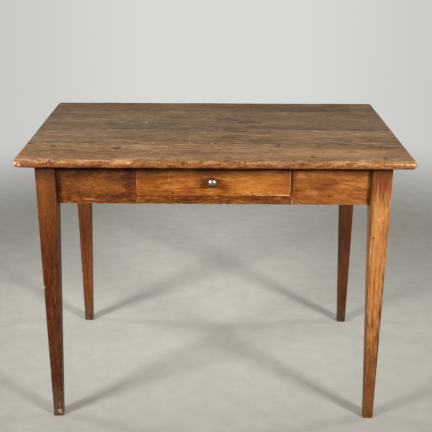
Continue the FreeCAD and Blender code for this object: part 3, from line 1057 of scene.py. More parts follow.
@dataclass
class TopBoard(WornBar):
    """One board of the top, whose face has sunk, cupped and been dented in use.

    Attributes:
        dents: Place, reach and depth of each dent.
        sunk: Depth to which the whole face has sunk.
        front: Place of the top's front edge, where the board's full length is measured.
        slant: How much shorter the top gets per millimetre towards the back.
    """

    dents: tuple[tuple[float, float, float, float], ...] = ()
    sunk: float = 0.0
    front: float = 0.0
    slant: float = 0.0
    ARC_STEPS = 7
    END_STEPS = 7
    RUB_REACH = 4.0
    UPPER_SIDE = 2
    SWELL_LENGTH, SWELL_WIDTH, SWELL_DEPTH = 150.0, 55.0, 0.3

    def relief(self, place: Vector, side: int) -> float:
        """Depth of the upper face below its plane.

        Args:
            place: Place on the bar.
            side: Number of its side.

        Returns:
            The depth, nothing on the other sides.
        """
        if side != self.UPPER_SIDE:
            return 0.0
        swell = noise.noise(Vector((place.x / self.SWELL_LENGTH, place.y / self.SWELL_WIDTH, self.seed)))
        depth = self.sunk + self.SWELL_DEPTH * (1 + swell) / 2
        for x, y, reach, dip in self.dents:
            depth += dip * math.exp(-((place.x - x) ** 2 + (place.y - y) ** 2) / reach ** 2)
        return depth

    def section(self, along: float, shares: list[list[float]]) -> list[tuple[Vector, float, int]]:
        """Points round one section, drawn in towards the back because the right end is out of square.

        Args:
            along: Distance from the low end.
            shares: Shares of each side's flat at which it has points.

        Returns:
            For each point its place, its closeness to an arris from 0 to 1, and that arris.
        """
        points = super().section(along, shares)
        for place, _, _ in points:
            place.x -= self.slant * (place.y - self.front) * along / self.length
        return points


@dataclass
class PlankTop:
    """The top: four boards side by side, rounded along its outer edges.

    Attributes:
        boards: Names of the boards from front to back.
        sunk: How deep the face of each board has sunk.
        seeds: Seed of the first board, and the step to the next.
        edge_round: Rounding of the outer edges.
        corner_round: Rounding of the outer corners.
        seam_round: Rounding along the seams.
        rubbed: How much the lower front, lower back, upper back and upper front arris are rubbed; along the
            upper front arris the pale rubbed wood also stands in for a painted highlight.
        dent_count: Dents in each board.
        dent_spread: How far dents lie from the board's middle, as a share of its size.
        dent_reach: Least reach of a dent, and what chance adds.
        dent_depth: Greatest depth of a dent.
        scrub_drop: How far scrubbing reaches down the edge, at the left and at the right.
        scrub_edge: Distance over which it ends.
        under_dirt_and_shade: Reach of the dirt and painted shade from the underside, up the lower arris.
        seam_dirt: Reach of the dirt from a seam.
        end_dirt: Reach of the dirt from a sawn end.
        end_share: How dirty the sawn ends are.
        edge_depth: Half depth of pits and chips in the front edge.
        pit_colour: Colour of the pits.
        chip_colour: Colour of the chips.
    """

    # How softly the patches of painted light and shade, the pits and the chips of the front edge end, and how
    # strong the pits are
    STAIN_EDGE, PIT_EDGE, CHIP_EDGE = 0.9, 0.8, 0.7
    PIT_STRENGTH = 0.6

    boards: tuple[str, ...] = ("front", "middle_front", "middle_back", "back")
    sunk: tuple[float, ...] = (0.0, 0.25, 0.1, 0.3)
    seeds: tuple[float, float] = (20.0, 5.0)
    edge_round: float = 9.0
    corner_round: float = 11.0
    seam_round: float = 0.9
    rubbed: tuple[float, float, float, float] = (0.3, 0.2, 0.34, 0.36)
    dent_count: int = 14
    dent_spread: float = 0.62
    dent_reach: tuple[float, float] = (7.0, 5.0)
    dent_depth: float = 0.7
    scrub_drop: tuple[float, float] = (5.6, 5.0)
    scrub_edge: float = 4.0
    under_dirt_and_shade: float = 1.6
    seam_dirt: float = 1.3
    end_dirt: float = 4.0
    end_share: float = 0.6
    edge_depth: float = 14.0
    pit_colour: str = "#4A2409"
    chip_colour: str = "#E8C08A"

    def finishes(self) -> dict[str, Wood]:
        """Finish of each board.

        Returns:
            The finishes by the boards' names.
        """
        knot, stain, speck = "#2A180C", "#3A2817", "#E6DCCB"
        return {
            "front": replace(
                WALNUT, name="walnut_front_board", tones=("#6C3812", "#9A5823", "#C4813D"),
                greyed=("#583E27", "#8B6844", "#B79368"), tint="#94694B", pith=(-60.0, -262.0, 640.0),
                lean=(0.9, 0.5), marks=(
                    # Paler patch on the right: painted light, falling more strongly on the right of the top
                    on_top(297, -240, 210, 60, "#B48759", 0.65, 0.9),
                    on_top(107, -262, 150, 22, "#A67A4E", 0.5, 0.9),
                    on_top(-251, -198, 15, 23, knot, 0.75),
                    on_top(-249, -199, 7, 10, "#6A4B30", 0.8, 0.8),
                    on_top(-222, -205, 34, 9, knot, 0.4, 0.9),
                    on_top(-255, -272, 20, 11, knot, 0.45, 0.8),
                    on_top(165, -163, 6, 8, knot, 0.6),
                    on_top(243, -269, 9, 12, knot, 0.75),
                    on_top(421, -279, 8, 11, knot, 0.75),
                    on_top(346, -224, 18, 12, knot, 0.4),
                    on_top(-419, -182, 9, 12, knot, 0.75),
                    on_top(-485, -161, 18, 8, "#120A05", 0.9),
                    # Darker patch on the left: painted shade, less light on the left of the top
                    on_top(-310, -245, 230, 60, "#704C2D", 0.65, 0.9),
                    *self.edge_marks())),
            "middle_front": replace(
                WALNUT, name="walnut_middle_front_board", tint="#7C6A54", pith=(80.0, -40.0, 610.0),
                lean=(-0.7, 0.6), marks=(
                    on_top(415, -118, 25, 13, knot, 0.65, 0.8),
                    on_top(340, -118, 38, 13, knot, 0.6, 0.8),
                    on_top(300, -100, 40, 10, knot, 0.3, 0.9),
                    on_top(352, -47, 8, 10, knot, 0.6),
                    on_top(-163, -152, 4, 5, speck, 0.6),
                    on_top(-66, -151, 4, 5, speck, 0.5),
                    on_top(-9, -150, 4, 5, speck, 0.5),
                    on_top(-443, -90, 50, 40, "#80543A", 0.4, 0.9),
                    on_top(-290, -80, 260, 90, "#6A523A", 0.3),
                    on_top(300, -80, 260, 90, "#957350", 0.25))),
            "middle_back": replace(
                WALNUT, name="walnut_middle_back_board", greyed=("#40301F", "#6A523A", "#907555"),
                tint="#6E6050", pith=(0.0, 120.0, 560.0), lean=(0.5, -0.6), marks=(
                    on_top(91, 69, 46, 28, stain, 0.6, 0.8),
                    on_top(68, 58, 12, 11, knot, 0.6, 0.7),
                    on_top(102, 15, 18, 8, knot, 0.55, 0.8),
                    on_top(127, 62, 11, 12, knot, 0.5, 0.8),
                    on_top(218, 160, 22, 10, knot, 0.45, 0.8),
                    on_top(395, 10, 32, 8, knot, 0.4, 0.8),
                    on_top(37, 96, 60, 16, stain, 0.5, 0.8),
                    on_top(397, 100, 80, 8, "#B68D62", 0.5, 0.9),
                    on_top(330, 95, 260, 120, "#8C6D4C", 0.3),
                    on_top(-199, 63, 4, 7, speck, 0.6))),
            "back": replace(
                WALNUT, name="walnut_back_board", greyed=("#432C18", "#684B2F", "#8A6742"),
                tint="#64544A", pith=(30.0, 300.0, 650.0), lean=(-0.6, -0.4), marks=(
                    on_top(299, 280, 60, 16, "#8F8375", 0.4, 0.9),
                    on_top(-333, 250, 180, 40, "#744E2C", 0.45, 0.9),
                    on_top(117, 255, 110, 26, "#54402F", 0.4, 0.9))),
        }

    def build(self) -> None:
        """Loft, dress and place the four boards."""
        finishes = self.finishes()
        lows, highs = zip(*(corners(f"top_board_{name}") for name in self.boards))
        front = lows[0].y
        slant = (highs[1].x - highs[-1].x) / (lows[-1].y - lows[1].y)
        front_right = highs[1].x + slant * (lows[1].y - front)
        first_seed, seed_step = self.seeds
        lower_front, lower_back, *upper = self.rubbed
        for index, name in enumerate(self.boards):
            first, last = index == 0, index == len(self.boards) - 1
            low, high = lows[index].copy(), highs[index].copy()
            high.x = front_right
            if not last:
                high.y = lows[index + 1].y
            front_edge = self.edge_round if first else self.seam_round
            back_edge = self.edge_round if last else self.seam_round
            board = TopBoard(
                low, high, Grain.LENGTH, seed=first_seed + seed_step * index,
                arris=(front_edge, back_edge, back_edge, front_edge),
                end_round=(self.edge_round, self.corner_round if last else 0.0, self.edge_round,
                           self.corner_round if first else 0.0),
                rubbed=(lower_front if first else 0.0, lower_back if last else 0.0, *upper),
                step=5.0, side_steps=(30.0, 4.0, 6.0, 4.0), worn_in=0.15, nicks=self.nicks() if first else (),
                fade=partial(self.fade, highs[-1]), dents=self.dents(low, high, index), sunk=self.sunk[index],
                front=front, slant=slant)
            board.grime = partial(self.grime, board, first, last)
            place_piece(f"{name}_board", board.mesh(f"{name}_board"), finishes[name].material(), Body.TABLE,
                        Slot.TOP, f"top_board_{name}")

    def nicks(self) -> tuple[Nick, ...]:
        """Hollows along the front edge.

        Returns:
            The hollows of its upper arris and of its lower one.
        """
        # Place, half length and depth of each
        upper = ((-489, 6, 2.2), (-329, 5, 0.8), (-210, 4.5, 1.6), (-134, 4, 0.8),
                 (81, 4, 1.4), (317, 6, 0.8), (354, 5, 0.7), (393, 4, 0.6), (419, 4, 0.6),
                 (451, 9, 1), (484, 7, 1.6))
        lower = ((-415, 6, 0.9), (-243, 5, 1.2), (-99, 5, 1), (177, 5, 0.9),
                 (379, 5, 1.1))
        return (*(Nick(LongArris.UPPER_FRONT, *hollow) for hollow in upper),
                *(Nick(LongArris.LOWER_FRONT, *hollow) for hollow in lower))

    def edge_marks(self) -> tuple[Mark, ...]:
        """Patches of painted light and shade, dark pits and chips of fresh wood along the front edge.

        Returns:
            The marks, each kind over the one before.
        """
        front = corners("top_board_front")[0]
        # Place, height above the underside, half sizes, colour and strength of each patch: painted shade over
        # the left of the edge and, weaker, over the right, and wear with a painted highlight at the right
        # end's upper arris
        lit_and_shaded_patches = ((-350, 9, (200, 16, 15), "#7E4215", 0.65),
                  (370, 9, (170, 16, 15), "#915421", 0.2),
                  (455, 15, (50, 14, 5), "#D6A262", 0.45))
        # Place, half length, half height and height above the underside of each pit
        pits = ((-455, 6, 1.8, 5.5), (-390, 9, 1.6, 4.5), (-300, 7, 1.7, 6),
                (-262, 5, 1.8, 11), (-180, 8, 1.6, 4.5), (-110, 6, 1.8, 6),
                (-35, 7, 1.6, 5), (40, 6, 1.7, 10), (110, 8, 1.6, 4.5), (165, 5, 1.8, 6),
                (230, 7, 1.6, 5), (280, 6, 1.8, 10.5), (330, 7, 1.6, 5), (372, 5, 1.8, 7),
                (410, 6, 1.6, 4.5), (440, 5, 1.8, 8.5), (470, 7, 1.6, 5))
        # The same of each chip, and how fresh its wood is
        chips = ((-491, 9, 5.5, 13, 1), (-480, 6, 3, 8.5, 1), (-417, 2.4, 1.6, 8, 0.5),
                 (-408, 1.6, 2.4, 9, 0.55), (-375, 4, 1.5, 7, 0.45), (-329, 3.2, 1.5, 15.5, 0.5),
                 (-210, 2.6, 2.2, 14.5, 0.95), (-215, 1.6, 1.6, 12.5, 0.8), (-169, 2.4, 1.6, 8, 0.5),
                 (-134, 2.4, 1.5, 16, 0.55), (-63, 5, 1.2, 16.5, 0.4), (19, 3.5, 1.4, 9, 0.4),
                 (81, 2.8, 2, 15.5, 0.85), (147, 5, 1.2, 16, 0.45), (202, 3, 1.6, 9.5, 0.4),
                 (247, 7, 1.4, 15.5, 0.4), (295, 4, 1.6, 8.5, 0.35), (317, 3, 2, 14, 0.45),
                 (342, 2.5, 1.8, 10, 0.4), (354, 6, 1.5, 15.5, 0.4), (393, 4, 1.8, 13, 0.4),
                 (407, 2.5, 1.5, 9.5, 0.35), (419, 5, 1.6, 15, 0.4), (451, 15, 1.8, 15, 0.6),
                 (471, 8, 2.2, 14, 0.6), (483, 5, 3, 14.5, 0.9), (489, 5, 3, 13, 0.9))
        rows = [(*stain, self.STAIN_EDGE) for stain in lit_and_shaded_patches]
        rows += [(x, rise, (long, self.edge_depth, tall), self.pit_colour, self.PIT_STRENGTH, self.PIT_EDGE)
                 for x, long, tall, rise in pits]
        rows += [(x, rise, (long, self.edge_depth, tall), self.chip_colour, fresh, self.CHIP_EDGE)
                 for x, long, tall, rise, fresh in chips]
        return tuple(Mark((x, front.y, front.z + rise), *look) for x, rise, *look in rows)

    def dents(self, low: Vector, high: Vector, index: int) -> tuple[tuple[float, float, float, float], ...]:
        """Shallow dents strewn over a board.

        Args:
            low: Lowest corner of the board.
            high: Highest corner of the board.
            index: Number of the board.

        Returns:
            Place, reach and depth of each dent.
        """
        board_step, dent_step = 31.7, 5.13
        x_seed, y_seed, reach_seed, depth_seed = 1.5, 9.5, 4.5, 6.5
        least, more = self.dent_reach
        strewn = []
        for number in range(self.dent_count):
            chance = partial(wander, board_step * index + dent_step * number)
            x = low.x + (0.5 + self.dent_spread * chance(x_seed)) * (high.x - low.x)
            y = low.y + (0.5 + self.dent_spread * chance(y_seed)) * (high.y - low.y)
            reach = least + more * abs(chance(reach_seed))
            strewn.append((x, y, reach, self.dent_depth * abs(chance(depth_seed))))
        return tuple(strewn)

    def fade(self, high: Vector, place: Vector) -> float:
        """Scrubbed grey wood, all over the face and a little way down the edges.

        Args:
            high: Highest corner of the top.
            place: Place on the top.

        Returns:
            The fading, from 0 to 1.
        """
        left_drop, right_drop = self.scrub_drop
        drop = left_drop + (right_drop - left_drop) * eased(0.5 + place.x / high.x)
        return eased((drop - (high.z - place.z)) / self.scrub_edge)

    def grime(self, board: TopBoard, first: bool, last: bool, place: Vector) -> float:
        """Dirt in the seams and at the sawn ends, and dirt with painted shade under the top.

        Args:
            board: The board.
            first: True for the front board.
            last: True for the back board.
            place: Place on the board.

        Returns:
            The dirt and painted shade, from 0 to 1.
        """
        seams = ([] if first else [board.low.y]) + ([] if last else [board.high.y])
        under = near_edge(place.z - board.low.z, self.under_dirt_and_shade)
        in_seam = max((near_edge(abs(place.y - seam), self.seam_dirt) for seam in seams), default=0.0)
        if place.y - board.low.y <= self.edge_round:
            return max(under, in_seam)
        right_end = board.high.x - board.slant * (place.y - board.front)
        at_end = near_edge(min(place.x - board.low.x, right_end - place.x), self.end_dirt)
        return max(under, in_seam, self.end_share * at_end)


@dataclass
class TaperedLeg(WornBar):
    """A leg, square beside the aprons and tapered on its two inner faces down to the foot.

    Attributes:
        outer: Signs of the two outer faces, along X and along Y.
        foot: Width of the foot.
        knee: Height at which the taper starts.
    """

    outer: tuple[int, int] = (-1, -1)
    foot: float = 26.0
    knee: float = 620.0

    def sides(self, along: float) -> list[float]:
        """Places of the four sides of the section, drawn in on the inner faces below the knee.

        Args:
            along: Height above the floor.

        Returns:
            Y low, X high, Y high, X low.
        """
        faces = super().sides(along)
        drawn_in = self.drawn_in(along)
        if self.outer[0] < 0:
            faces[1] -= drawn_in
        else:
            faces[3] += drawn_in
        if self.outer[1] < 0:
            faces[2] -= drawn_in
        else:
            faces[0] += drawn_in
        return faces

    def drawn_in(self, along: float) -> float:
        """How far the inner faces are drawn in at a height."""
        return (self.high.x - self.low.x - self.foot) * max(1 - along / self.knee, 0.0)


@dataclass
class LegSet:
    """The four legs and the pegs in their joints.

    Attributes:
        knee_drop: How far below the aprons the taper starts.
        arris: Rounding of the arrises.
        sole_round: Rounding round the sole.
        overhang_dirt_and_shadow_reach: How far down the painted shadow of the top's overhang, with its dirt,
            reaches on the right legs.
        left_overhang_dirt_and_shadow_reach: The same for the left legs, where the painted shadow reaches
            further.
        inner_dirt_and_shade: Dirt on the inner faces of the front legs, and dirt with painted shade on those
            of the back legs.
        inner_reach: Reach of that dirt and shade from those faces.
        bare_share: How bare the feet are.
        bare_end: Where the bare wood ends, in shares of the bared height.
        seeds: Seed of the first leg, and the step to the next.
        peg_colours: Colours of the pegs, leg by leg.
        peg_reach: Half sizes of the space round a leg's middle that holds its pegs.
    """

    knee_drop: float = 2.0
    arris: float = 2.2
    sole_round: float = 1.6
    overhang_dirt_and_shadow_reach: float = 16.0
    left_overhang_dirt_and_shadow_reach: float = 27.0
    inner_dirt_and_shade: tuple[float, float] = (0.3, 0.75)
    inner_reach: float = 1.0
    bare_share: float = 0.7
    bare_end: float = 1.7
    seeds: tuple[float, float] = (50.0, 6.0)
    peg_colours: tuple[str, str, str, str] = ("#5E3415", "#A06230", "#7E4218", "#663612")
    peg_reach: Place = (70.0, 70.0, 500.0)

    def mark(self, leg: str, across: float | None, height: float, reach: Place, colour: str, strength: float,
             edge: float = Mark.edge) -> Mark:
        """Mark on the front of a front leg, or in the middle of a back leg.

        Args:
            leg: Name of the leg.
            across: Distance from the leg's left side, or None for its middle.
            height: Height above the floor.
            reach: Half sizes of the mark.
            colour: Colour of the mark.
            strength: How much of the colour shows in the middle.
            edge: Share of the reach over which the mark fades out.

        Returns:
            The mark.
        """
        low, high = corners(f"leg_{leg}")
        middle = (low + high) / 2
        x = middle.x if across is None else low.x + across
        y = low.y if leg.startswith("front") else middle.y
        return Mark((x, y, height), reach, colour, strength, edge)

    def finishes(self) -> dict[str, Wood]:
        """Finish of each leg.

        Returns:
            The finishes by the legs' names.
        """
        upright = replace(FRUITWOOD, grain=Grain.HEIGHT, lean=(0.4, 0.5), cloud=Streaks(200.0, 24.0, 0.3),
                          streak=Streaks(90.0, 6.0, 0.3), fibre=Streaks(26.0, 4.0, 0.34),
                          greyed=("#3C2817", "#6B4E33", "#957752"))
        left, right = partial(self.mark, "front_left"), partial(self.mark, "front_right")
        pale, streaky, fresh = "#E2D9C8", "#7A3A14", "#F0D2A4"
        return {
            "front_left": replace(
                upright, name="fruitwood_front_left_leg", tones=("#3C1B0A", "#582A0E", "#723E1A"),
                pith=(-380.0, -230.0, 0.0), speck=Streaks(7.0, 4.5, 0.42, 2.0), marks=(
                    # Lighter round the top: painted light, falling more strongly high on the leg
                    left(None, 710, (90, 90, 220), "#8A5022", 0.65, 1.1),
                    left(16, 680, (11, 40, 130), "#965A28", 0.3, 0.9),
                    left(43, 680, (10, 40, 110), "#5A2E12", 0.35, 0.9),
                    # Darker towards the foot: painted shade, the light falling off towards the floor
                    left(None, 140, (90, 90, 300), "#3A1A07", 0.45, 1.1),
                    left(17, 16, (10, 14, 8), "#A89A86", 0.55, 0.9),
                    left(18, 20, (5.5, 14, 2), pale, 0.8),
                    left(20.5, 12, (5, 14, 2.2), pale, 0.75))),
            "front_right": replace(
                upright, name="fruitwood_front_right_leg", tones=("#904F1F", "#BC7A41", "#DFA564"),
                cloud=Streaks(240.0, 20.0, 0.4), streak=Streaks(140.0, 8.0, 0.24),
                fibre=Streaks(40.0, 4.5, 0.22), speck=Streaks(9.0, 4.5, 0.15, 2.0), pith=(470.0, -240.0, 0.0),
                marks=(
                    # Darker round the top: painted shade, the light falling off under the top
                    right(None, 715, (70, 60, 106), "#703312", 0.86, 0.8),
                    right(50, 380, (11, 6, 230), "#3A1C0A", 0.65, 0.9),
                    # Darker down to the foot: painted shade, the light falling off towards the floor
                    right(None, 30, (140, 140, 410), "#683813", 0.84, 0.75),
                    right(50, 240, (8, 5, 210), "#3F1F0B", 0.75, 0.9),
                    right(4, 600, (6, 14, 130), "#6B3514", 0.7, 0.8),
                    right(30, 662, (3.5, 14, 30), streaky, 0.6, 0.8),
                    right(12, 668, (3.5, 14, 26), streaky, 0.5, 0.8),
                    right(41, 640, (2.5, 14, 26), streaky, 0.4, 0.8),
                    right(24, 592, (3, 14, 9), fresh, 0.5, 0.9),
                    right(35, 598, (2.5, 14, 7), fresh, 0.4, 0.9),
                    right(14.5, 543, (2.8, 14, 3.2), "#5A2A0E", 0.9, 0.4))),
            "back_left": replace(
                upright, name="fruitwood_back_left_leg", tones=("#5E2D0F", "#934D1A", "#B46C30"),
                pith=(-400.0, 320.0, 0.0),
                # Lighter upper leg: painted light reaching in under the table
                marks=(self.mark("back_left", None, 600.0, (220.0, 220.0, 270.0), "#B26A30", 0.3, 0.4),)),
            "back_right": replace(
                upright, name="fruitwood_back_right_leg", tones=("#4B230D", "#743C14", "#945526"),
                pith=(420.0, 330.0, 0.0),
                # Lighter upper leg: painted light reaching in under the table
                marks=(self.mark("back_right", None, 600.0, (220.0, 220.0, 330.0), "#8E5224", 0.3, 0.25),)),
        }

    def build(self) -> None:
        """Loft, dress and place the legs, and dress their pegs."""
        bared = {"front_left": 78.0, "front_right": 24.0, "back_left": 58.0, "back_right": 40.0}
        left, right = LegArris.FRONT_LEFT, LegArris.FRONT_RIGHT
        nicks = {
            "front_left": (Nick(left, 398.0, 5.0, 2.6, 0.5), Nick(left, 573.0, 7.0, 1.6, 0.3),
                           Nick(right, 18.0, 9.0, 3.0, 0.1), Nick(right, 210.0, 9.0, 1.2, 0.2)),
            "front_right": (Nick(right, 300.0, 9.0, 1.4, 0.2), Nick(left, 120.0, 8.0, 1.2, 0.2)),
            "back_left": (Nick(right, 60.0, 10.0, 1.6, 0.3),),
            "back_right": (Nick(left, 45.0, 9.0, 1.6, 0.3),),
        }
        knee = corners("apron_left")[0].z - self.knee_drop
        first_seed, seed_step = self.seeds
        finishes = self.finishes()
        for index, (name, finish) in enumerate(finishes.items()):
            node = f"leg_{name}"
            low, high = corners(node)
            mount = next(m for m in frame["record"]["mounts"] if m["name"] == f"foot_{name}")
            outer = (1 if low.x > 0 else -1, 1 if low.y > 0 else -1)
            outer_face = high.x if outer[0] > 0 else low.x
            foot = 2 * abs(outer_face - mount["pos_m"][0] / MM)
            leg = TaperedLeg(
                low, high, Grain.HEIGHT, seed=first_seed + seed_step * index, arris=(self.arris,) * 4,
                end_round=(self.sole_round,) * 4, rubbed=(0.24, 0.24, 0.2, 0.2), step=6.0,
                side_steps=(9.0,) * 4, worn_in=0.35, nicks=nicks[name], fade=partial(self.fade, bared[name]),
                outer=outer, foot=foot, knee=knee)
            leg.grime = partial(self.grime, leg)
            place_piece(f"{name}_leg", leg.mesh(f"{name}_leg"), finish.material(), Body.TABLE, Slot.FRAME,
                        node)
        tints = []
        for name, colour in zip(finishes, self.peg_colours):
            low, high = corners(f"leg_{name}")
            tints.append(Mark(tuple((low + high) / 2), self.peg_reach, colour, 0.85, 0.2))
        # Darker pegs at the top of the front right leg, following its painted shade there
        tints.append(self.mark("front_right", None, 715.0, (70.0, 60.0, 60.0), "#6A3414", 0.85, 0.5))
        peg = replace(PEG_WOOD, name="fruitwood_riven_leg_pegs", marks=tuple(tints))
        dress_solid("leg_pegs", peg.material())

    def grime(self, leg: TaperedLeg, place: Vector) -> float:
        """Dirt with painted shadow under the top, and dirt down the inner faces, with painted shade on the
        back legs'.

        Args:
            leg: The leg.
            place: Place on the leg.

        Returns:
            The dirt and painted shade, from 0 to 1.
        """
        share = self.inner_dirt_and_shade[0] if leg.outer[1] < 0 else self.inner_dirt_and_shade[1]
        overhang_dirt_and_shadow_reach = self.left_overhang_dirt_and_shadow_reach if leg.outer[0] < 0 else self.overhang_dirt_and_shadow_reach
        drawn_in = leg.drawn_in(place.z)
        gaps = (leg.high[axis] - drawn_in - place[axis] if leg.outer[axis] < 0
                else place[axis] - leg.low[axis] - drawn_in for axis in (0, 1))
        inside = share * near_edge(min(gaps), self.inner_reach)
        return max(under_top_dirt_and_shadow(leg.high.z - place.z, overhang_dirt_and_shadow_reach), inside)

    def fade(self, height: float, place: Vector) -> float:
        """Wood bared by mops and shoes up to about a height."""
        return self.bare_share * eased(self.bare_end - place.z / height)


@dataclass
class ApronSet:
    """The aprons between the legs, the panels and the rail round the drawer, and what fastens them.

    Attributes:
        arris: Rounding of the lower outer arris.
        sharp: Rounding of the other arrises.
        joint_overlap: How far a board reaches past a joint before it is cut to its solid.
        corner_dirt_and_shadow: Reach of the dirt and painted shadow beside the right legs.
        left_corner_dirt_and_shadow: The same beside the left legs, where the painted shadow is wider.
        overhang_dirt_and_shadow_reach: How far down the painted shadow of the top's overhang, with its dirt,
            reaches on the right half.
        left_overhang_dirt_and_shadow_reach: The same for the left half, where the painted shadow reaches
            further.
        seeds: Seed of the first board, and the step to the next.
    """

    arris: float = 1.6
    sharp: float = 0.35
    joint_overlap: float = 0.25
    corner_dirt_and_shadow: float = 4.0
    left_corner_dirt_and_shadow: float = 7.5
    overhang_dirt_and_shadow_reach: float = 16.0
    left_overhang_dirt_and_shadow_reach: float = 28.5
    seeds: tuple[float, float] = (90.0, 4.0)

    def build(self) -> None:
        """Loft, cut, dress and place the boards, and dress pegs and screws."""
        between = (corners("leg_front_left")[1], corners("leg_back_right")[0])
        between_panels = (corners("front_panel_left")[1], corners("front_panel_right")[0])
        grime = partial(self.grime, *between, corners("apron_left")[1].z)
        spare = self.joint_overlap
        first_seed, seed_step = self.seeds
        for index, (node, finish) in enumerate(self.finishes().items()):
            low, high = corners(node)
            grain = finish.grain
            ends = between_panels if node == "drawer_rail" else between
            low[grain.axis] = max(low[grain.axis], ends[0][grain.axis] - spare)
            high[grain.axis] = min(high[grain.axis], ends[1][grain.axis] + spare)
            if node == "front_panel_left":
                high.x += spare
            high.z += spare
            arris = [self.sharp] * 4
            outside_low = low[grain.across[0]] < 0
            arris[LongArris.LOWER_FRONT if outside_low else LongArris.LOWER_BACK] = self.arris
            bar = WornBar(low, high, grain, seed=first_seed + seed_step * index, arris=tuple(arris),
                          end_round=(0.0,) * 4, rubbed=(0.5, 0.5, 0.1, 0.1), step=8.0,
                          side_steps=(10.0, 9.0, 10.0, 9.0), worn_in=0.2, grime=grime)
            mesh = cut_to_solid(bar.mesh(f"{node}_board"), node)
            place_piece(f"{node}_board", mesh, finish.material(), Body.TABLE, Slot.FRAME, node)
        dress_solid("rail_pegs", replace(PEG_WOOD, name="fruitwood_riven_rail_pegs").material())
        dress_solid("top_screws", DARK_IRON.material())

    def finishes(self) -> dict[str, Wood]:
        """Finish of each board.

        Returns:
            The finishes by the boards' nodes.
        """
        dark, black, fresh = "#45200A", "#2A1206", "#D8B080"
        pitted = Streaks(6.0, 4.5, 0.5, 2.0)
        return {
            "front_panel_left": replace(
                FRUITWOOD, name="fruitwood_left_panel", tones=("#45200A", "#6C3710", "#93551F"),
                pith=(-300.0, -190.0, 668.0), lean=(3.0, 1.5), ring=11.0, fibre=Streaks(14.0, 4.5, 0.4),
                speck=pitted, marks=(
                    on_front(-300.6, 672.6, 120, 32, "#A3642A", 0.4, 0.9),
                    on_front(-213.2, 688.6, 22, 60, "#4E2412", 0.75, 0.8),
                    on_front(-314.5, 639.3, 22, 1.1, "#E2B988", 0.7),
                    on_front(-201.8, 635.6, 3, 2.5, "#120703", 0.9),
                    on_front(-209, 636.5, 7, 3, black, 0.6, 0.9))),
            "front_panel_right": replace(
                FRUITWOOD, name="fruitwood_right_panel", tones=("#6E340F", "#975625", "#BE7B3D"),
                pith=(330.0, -170.0, 600.0), lean=(-9.0, 6.0), ring=13.0, ring_share=0.15,
                cloud=Streaks(75.0, 30.0, 0.56), streak=Streaks(60.0, 8.0, 0.22),
                fibre=Streaks(18.0, 4.0, 0.2), speck=Streaks(5.0, 3.5, 0.2, 2.0), marks=(
                    on_front(194.1, 633.6, 5, 9, "#8F7A62", 0.7),
                    on_front(201, 694.6, 9, 60, "#6B3612", 0.5, 0.9),
                    on_front(193.5, 690, 4.5, 42, black, 0.75),
                    on_front(213, 628.5, 5, 1.8, fresh, 0.55, 0.7))),
            "drawer_rail": replace(
                FRUITWOOD, name="fruitwood_drawer_rail", tones=("#482006", "#6F3910", "#955722"),
                pith=(0.0, -200.0, 600.0), fibre=Streaks(16.0, 4.5, 0.4), speck=pitted, marks=(
                    on_front(24, 628.5, 6, 1.8, fresh, 0.6, 0.7),
                    # Darker along the top, under the drawer: painted shade
                    on_front(-150, 640, 36, 5, dark, 0.4, 0.9),
                    on_front(130, 641, 44, 4, dark, 0.35, 0.9))),
            "apron_left": replace(
                FRUITWOOD, name="fruitwood_left_apron", grain=Grain.DEPTH, pith=(-340.0, 0.0, 660.0),
                lean=(1.5, 1.0)),
            "apron_right": replace(
                FRUITWOOD, name="fruitwood_right_apron", grain=Grain.DEPTH, pith=(350.0, 40.0, 690.0),
                lean=(-1.5, 1.0)),
            "apron_back": replace(
                FRUITWOOD, name="fruitwood_back_apron", pith=(60.0, 200.0, 650.0), lean=(1.2, -1.0)),
        }

    def grime(self, low: Vector, high: Vector, top: float, place: Vector) -> float:
        """Dirt and painted shadow in the corners beside the legs and under the top.

        Args:
            low: Inner corner of the front left leg.
            high: Inner corner of the back right leg.
            top: Height of the top's underside.
            place: Place on a board.

        Returns:
            The dirt and painted shadow, from 0 to 1.
        """
        left = place.x < 0
        under = under_top_dirt_and_shadow(top - place.z, self.left_overhang_dirt_and_shadow_reach if left else self.overhang_dirt_and_shadow_reach)
        gap_x = min(place.x - low.x, high.x - place.x)
        gap_y = min(place.y - low.y, high.y - place.y)
        if gap_x > 0 and gap_y > 0:
            return under
        reach = self.left_corner_dirt_and_shadow if left else self.corner_dirt_and_shadow
        return max(under, near_edge(max(gap_x, gap_y), reach))


@dataclass
class DrawerGuides:
    """Runners that carry the drawer, and the stops nailed on them.

    Attributes:
        arris: Rounding of the arrises.
        seeds: Seeds of the left runner and of the left stop.
        seed_step: Step to the seeds of the right ones.
    """

    arris: float = 1.0
    seeds: tuple[float, float] = (130.0, 150.0)
    seed_step: float = 3.0

    def build(self) -> None:
        """Loft, cut, dress and place runners and stops, and dress the nails."""
        wood = replace(SOFTWOOD, name="softwood_runners", tones=("#6A4A2C", "#8C6840", "#A88558"),
                       pith=(150.0, 0.0, 560.0))
        for index, side in enumerate(("left", "right")):
            for kind, first_seed in zip(("runner", "stop"), self.seeds):
                node = f"drawer_{kind}_{side}"
                low, high = corners(node)
                bar = WornBar(low, high, Grain.DEPTH, seed=first_seed + self.seed_step * index,
                              arris=(self.arris,) * 4, step=14.0, rubbed=(0.4,) * 4)
                mesh = cut_to_solid(bar.mesh(f"{node}_wood"), node)
                place_piece(f"{node}_wood", mesh, wood.material(), Body.TABLE, Slot.DRAWER, node)
        dress_solid("stop_nails", DARK_IRON.material())


